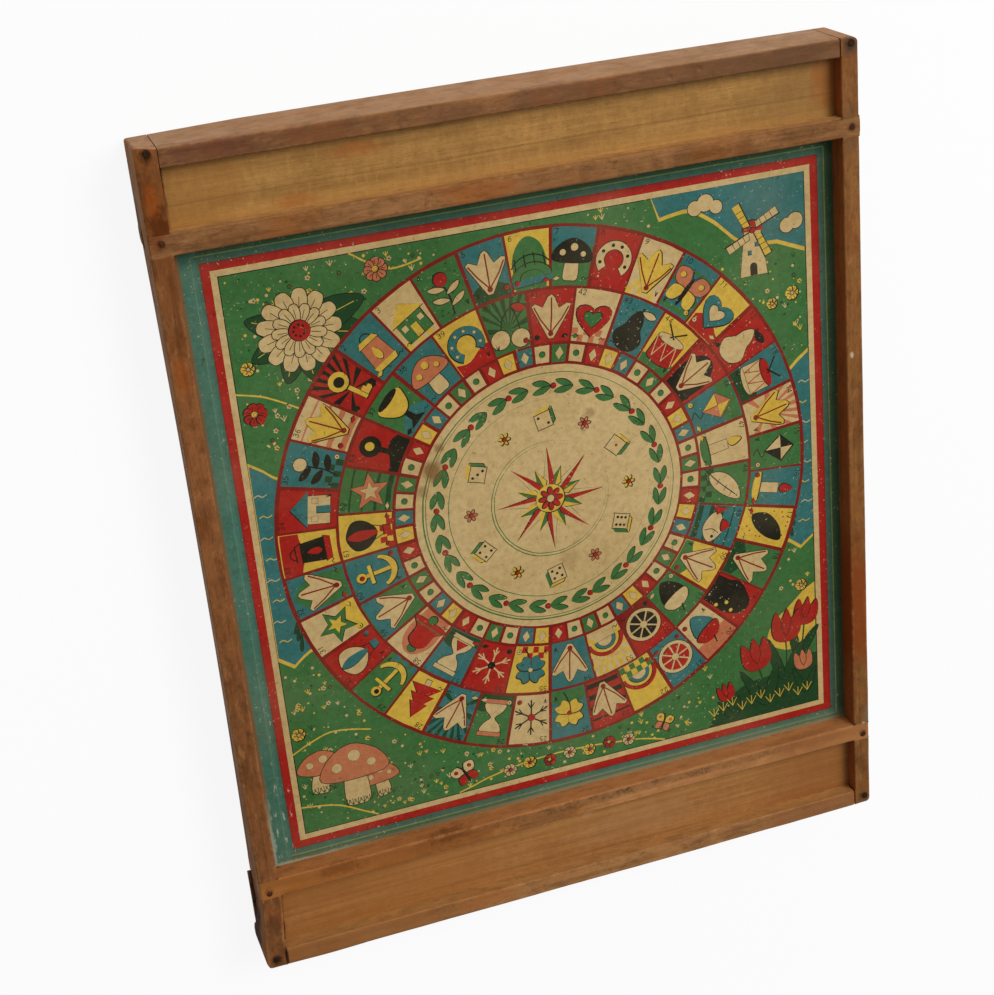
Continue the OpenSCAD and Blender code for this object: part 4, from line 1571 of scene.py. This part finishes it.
# The painted light at the foot of a rail's inner side, by the tray floor, fades in between two heights, as an
# axis and two places
PAINTED_LIGHT_FOOT = (2, 0.0305, 0.0255)
RAILS = {
    "left_side_rail": dict(
        shine=0.004, light=srgb(142, 90, 53), middle=srgb(124, 78, 45),
        faces=[(1, 0.12, 0.19, srgb(120, 62, 20), 0.3)],
        # Its top end and outer face are painted paler as light and sheen on them, and the outer face darker
        # towards its foot as painted shade.
        sides=[
            (1, 1, srgb(170, 132, 102), 0.95), (0, -1, srgb(156, 112, 76), 0.95),
            (0, -1, srgb(130, 80, 40), 0.95, 1, -0.08, -0.125),
        ],
        stains=marks_at(
            RAIL_FACE, (-178, 193.5, 7.5, STAIN, 0.75, (1.1, 0.62, 1)), (-182, 212, 5, STAIN, 0.45, LONG),
            (-180, 206, 3.6, ORANGE, 0.45, LONG), (-180, 120, 4, ORANGE, 0.4, LONG),
            (-183, 40, 5, STAIN, 0.3, LONG), (-180, -203, 5, srgb(74, 48, 32), 0.5, FLAT),
            (-176.6, -225, 0.9, DARK_JOINT_AND_SHADE, 0.8, CRACK),
        # The near-black patch on the outer face by the lower lid is painted shade.
        ) + [((-186, -215, 10), 12, srgb(40, 24, 14), 0.85, FLAT)],
    ),
    "right_side_rail": dict(
        # Its top side and its inner side are painted lighter, as painted light on them.
        light=srgb(137, 89, 42), middle=srgb(116, 72, 30), sides=[TOP_SIDE, (0, -1, LIT_INNER_SIDE, 0.9)],
        stains=marks_at(
            RAIL_FACE, (181, -98, 50, srgb(124, 52, 6), 0.75, (0.3, 1, 0.3)),
            (178.5, 58.5, 1.4, srgb(196, 166, 136), 0.9, (1, 0.6, 1)),
            (181, 226, 7, srgb(84, 60, 40), 0.75, ROUND), (184, -172, 4, GREY, 0.6, LONG),
            (180, 182, 6, srgb(96, 70, 46), 0.4, LONG),
            (181.6, -174.5, 1.6, srgb(190, 160, 136), 0.7, ROUND),
        ),
    ),
    "top_end_rail": dict(
        light=srgb(140, 94, 54), middle=srgb(112, 72, 40),
        # Its top side is painted paler, partly as light from above.
        faces=[(0, 0.055, 0.11, srgb(88, 58, 36), 0.75)], sides=[TOP_SIDE],
        stains=marks_at(
            RAIL_FACE, (-150, 226, 9, srgb(96, 52, 34), 0.5, WIDE),
            (172, 222, 4, srgb(126, 90, 62), 0.4, WIDE), (-98, 225, 9, srgb(94, 60, 36), 0.4, WIDE),
            (20, 225, 9, srgb(94, 62, 38), 0.45, WIDE), (-30, 222, 7, srgb(92, 56, 32), 0.3, WIDE),
        ),
    ),
    "bottom_end_rail": dict(
        rub=0.75, edge=srgb(126, 80, 42), light=srgb(178, 128, 76), middle=srgb(158, 108, 62),
        faces=[(0, -0.045, -0.1, srgb(138, 86, 42), 0.9), (0, 0.108, 0.125, srgb(126, 76, 42), 0.75)],
        # Its inner side is painted lighter as light from above, most at its foot.
        sides=[(1, 1, srgb(162, 112, 60), 0.9), (1, 1, srgb(182, 130, 74), 0.9, *PAINTED_LIGHT_FOOT)],
        stains=marks_at(
            RAIL_FACE, (100, -226, 6, STAIN, 0.3, WIDE), (-60, -224, 6, ORANGE, 0.3, WIDE),
            (-176.2, -225, 1.2, DARK_JOINT_AND_SHADE, 0.9, CRACK),
        ),
    ),
    "upper_cross_rail": dict(
        shine=0.01, rub=0.7, edge=srgb(108, 72, 42), light=srgb(150, 105, 65), middle=srgb(128, 87, 53),
        # The end of the fork that stands past the left rail is painted near-black as painted shade; the upper
        # side is painted lighter as light from above, most at its foot.
        faces=[(0, -HALF_W - 0.1 * MM, -HALF_W - 0.4 * MM, DARK_JOINT_AND_SHADE, 0.95)],
        sides=[(1, 1, srgb(162, 114, 66), 0.95), (1, 1, srgb(206, 154, 92), 0.95, *PAINTED_LIGHT_FOOT)],
        stains=marks_at(
            RAIL_FACE, (-148, 183, 5, STAIN, 0.35, WIDE), (-20, 184, 7, ORANGE, 0.3, WIDE),
            (150, 184, 5, srgb(90, 56, 34), 0.4, WIDE), (-181, 187, 7, srgb(110, 54, 24), 0.6, ROUND),
        ),
    ),
    "lower_cross_rail": dict(
        shine=0.01, light=srgb(180, 121, 70), middle=srgb(158, 103, 57), scuffed=scuffed_front,
        faces=[
            (0, -0.02, -0.09, srgb(150, 86, 34), 0.65), (0, 0.0, 0.03, srgb(184, 132, 86), 0.5),
            (1, LOW_CROSS[1] - 6 * MM, LOW_CROSS[1] - 3.5 * MM, srgb(116, 74, 42), 0.3),
        ],
        # Its upper side and its left end get tones of their own by the way they face, as painted light.
        sides=[(1, 1, srgb(172, 111, 65), 0.8), (0, -1, srgb(150, 104, 68), 0.95)],
        stains=marks_at(
            RAIL_FACE, (-82, -181, 16, srgb(118, 70, 34), 0.35, (0.4, 1, 1)),
            (-20, -183.5, 8, srgb(106, 70, 42), 0.5, THIN), (142, -176, 8, srgb(108, 66, 40), 0.45, THIN),
            (-140, -178, 5, STAIN, 0.35, WIDE),
        ) + [
            ((-76, -176, 30), 6, STAIN, 0.5, (0.4, 1, 1)),
            ((168.5, -185, 31), 1.5, srgb(206, 170, 130), 0.8, ROUND),
            ((165, -180, RAIL_FACE), 14, srgb(150, 96, 54), 0.6, WIDE),
        ],
    ),
}
TOP_RAIL_DENTS = [(81.2, 224.5, 32.0, 1.7, 0.5), (97.5, 226.3, 32.0, 1.5, 0.45)]

for seed, (node, tones) in enumerate(RAILS.items(), 1):
    axis, nails, seams = joinery(node)
    dents = TOP_RAIL_DENTS if node == "top_end_rail" else ()
    obj = worn_copy(node, dents=dents, nails=nails, seams=seams, seed=seed)
    dress(obj, wood(node + "_wood", axis, seed, **tones), "frame", "rail_wood", node)

for seed, place in ((7, "upper"), (8, "lower")):
    node = place + "_storage_lid"
    obj = worn_copy(node, pitch=(4, 3, 2), wave=0.04, seed=seed)
    material = wood(node + "_wood", 0, seed, srgb(76, 48, 30), srgb(56, 36, 22), srgb(32, 20, 12))
    dress(obj, material, place + "_lid", "lid_wood", node)

dress(sheet_object(draw_print()), print_material(), "frame", "printed_paper", "printed_sheet")

dark_iron = iron_material("dark_iron", srgb(36, 24, 15), srgb(60, 38, 22))
rusty_iron = iron_material("rusty_iron", srgb(52, 30, 18), srgb(84, 46, 24))
for node, head, iron in (("corner_nails", 2.0, dark_iron), ("cross_rail_nails", 1.6, rusty_iron)):
    dress(nail_object("hammered_" + node, node, head), iron, "frame", "nail_iron", node)

upper_marks = marks_at(
    TRAY_FACE, (172, 209, 11, ORANGE, 0.6, (1, 0.6, 1)), (-78, 213, 5, ORANGE, 0.4, WIDE),
    (-112, 193, 4, ORANGE, 0.4, WIDE), (158, 204, 40, srgb(128, 92, 48), 0.35, ROUND),
    (-168, 204, 46, srgb(150, 98, 42), 0.4, ROUND),
)
lower_marks = marks_at(
    TRAY_FACE, (-120, -203, 90, srgb(150, 88, 34), 0.4, (0.8, 1, 1)),
    (40, -205, 14, srgb(178, 130, 84), 0.3, WIDE), (8, -191, 4, srgb(186, 140, 106), 0.4, ROUND),
    (155, -205, 48, srgb(136, 82, 38), 0.6, ROUND),
)
repaint("game_board", board_material())
repaint("upper_tray_floor", tray_material(
    "upper_tray_veneer", srgb(170, 125, 66), srgb(154, 110, 54), srgb(104, 68, 28), 11, upper_marks,
    painted_light_band=(198, 189, 0.3), open_edge=(196, 208), figure=0.7, line_at=200.5,
))
repaint("lower_tray_floor", tray_material(
    "lower_tray_veneer", srgb(172, 118, 66), srgb(154, 101, 52), srgb(108, 64, 26), 12, lower_marks,
    painted_light_band=(-200, -189, 0.2), open_edge=(-203, -212), figure=0.35,
))


# Stage, lights and camera

# How much of its own white the floor adds to the light on it, where the camera sees it
FLOOR_GLOW = 0.9
FLOOR_REACH, FLOOR_DROP = 60.0, 0.2 * MM


def add_floor():
    bm = bmesh.new()
    reach = FLOOR_REACH
    bm.faces.new([bm.verts.new((x, y, -FLOOR_DROP)) for x, y in rect(-reach, reach, -reach, reach)])
    floor = add_object("floor", bm)
    s = Shader("pale_floor")
    s.set("Base Color", rgba((0.82, 0.82, 0.82)))
    s.set("Roughness", 0.8)
    s.set("Specular IOR Level", 0.1)
    white = s.node("ShaderNodeEmission", {"Color": (1, 1, 1, 1), "Strength": 1.0})
    path = s.node("ShaderNodeLightPath", {})
    seen = s.math("MAXIMUM", path.outputs["Is Camera Ray"], path.outputs["Is Glossy Ray"])
    seen = s.math("MAXIMUM", seen, path.outputs["Is Transmission Ray"])
    parts = {0: s.times(seen, FLOOR_GLOW), 1: s.bsdf.outputs[0], 2: white.outputs[0]}
    blend = s.node("ShaderNodeMixShader", parts)
    s.tree.links.new(blend.outputs[0], s.out.inputs[0])
    floor.data.materials.append(s.material)


def add_light(name, at, size, power):
    """A soft area light that looks at the middle of the board."""
    data = bpy.data.lights.new(name, "AREA")
    data.shape = "RECTANGLE"
    data.size, data.size_y = size
    data.energy = power
    data.color = (1.0, 0.99, 0.97)
    obj = bpy.data.objects.new(name, data)
    obj.location = at
    obj.rotation_euler = (-Vector(at)).to_track_quat("-Z", "Y").to_euler()
    bpy.context.scene.collection.objects.link(obj)


def add_world():
    world = bpy.data.worlds.new("studio")
    world.use_nodes = True
    back = world.node_tree.nodes["Background"]
    back.inputs[0].default_value = (0.93, 0.96, 1.0, 1)
    back.inputs[1].default_value = 0.33
    bpy.context.scene.world = world


def add_camera():
    data = bpy.data.cameras.new("camera")
    data.sensor_fit = "HORIZONTAL"
    data.sensor_width = SENSOR_MM
    data.lens = SENSOR_MM * FOCAL_PX / PHOTO_W
    data.shift_x = -CENTRE_X_PX / PHOTO_W
    data.shift_y = CENTRE_Y_PX / PHOTO_W
    data.clip_start = 0.05
    camera = bpy.data.objects.new("camera", data)
    ahead = (CAMERA_LOOKS_AT - CAMERA_AT).normalized()
    right = ahead.cross(Vector((0, 1, 0))).normalized()
    up = right.cross(ahead)
    rolled = right * math.cos(CAMERA_ROLL) - up * math.sin(CAMERA_ROLL)
    axes = Matrix((rolled, rolled.cross(ahead), -ahead)).transposed()
    camera.matrix_world = Matrix.Translation(CAMERA_AT) @ axes.to_4x4()
    bpy.context.scene.collection.objects.link(camera)
    bpy.context.scene.camera = camera


add_floor()
add_world()
add_light("window_light", (1.35, 1.30, 2.25), (1.6, 1.6), 70)
add_light("low_sky", (0.2, 2.6, 0.5), (2.4, 0.5), 13)
add_camera()

view = bpy.context.scene.view_settings
view.view_transform = "Standard"
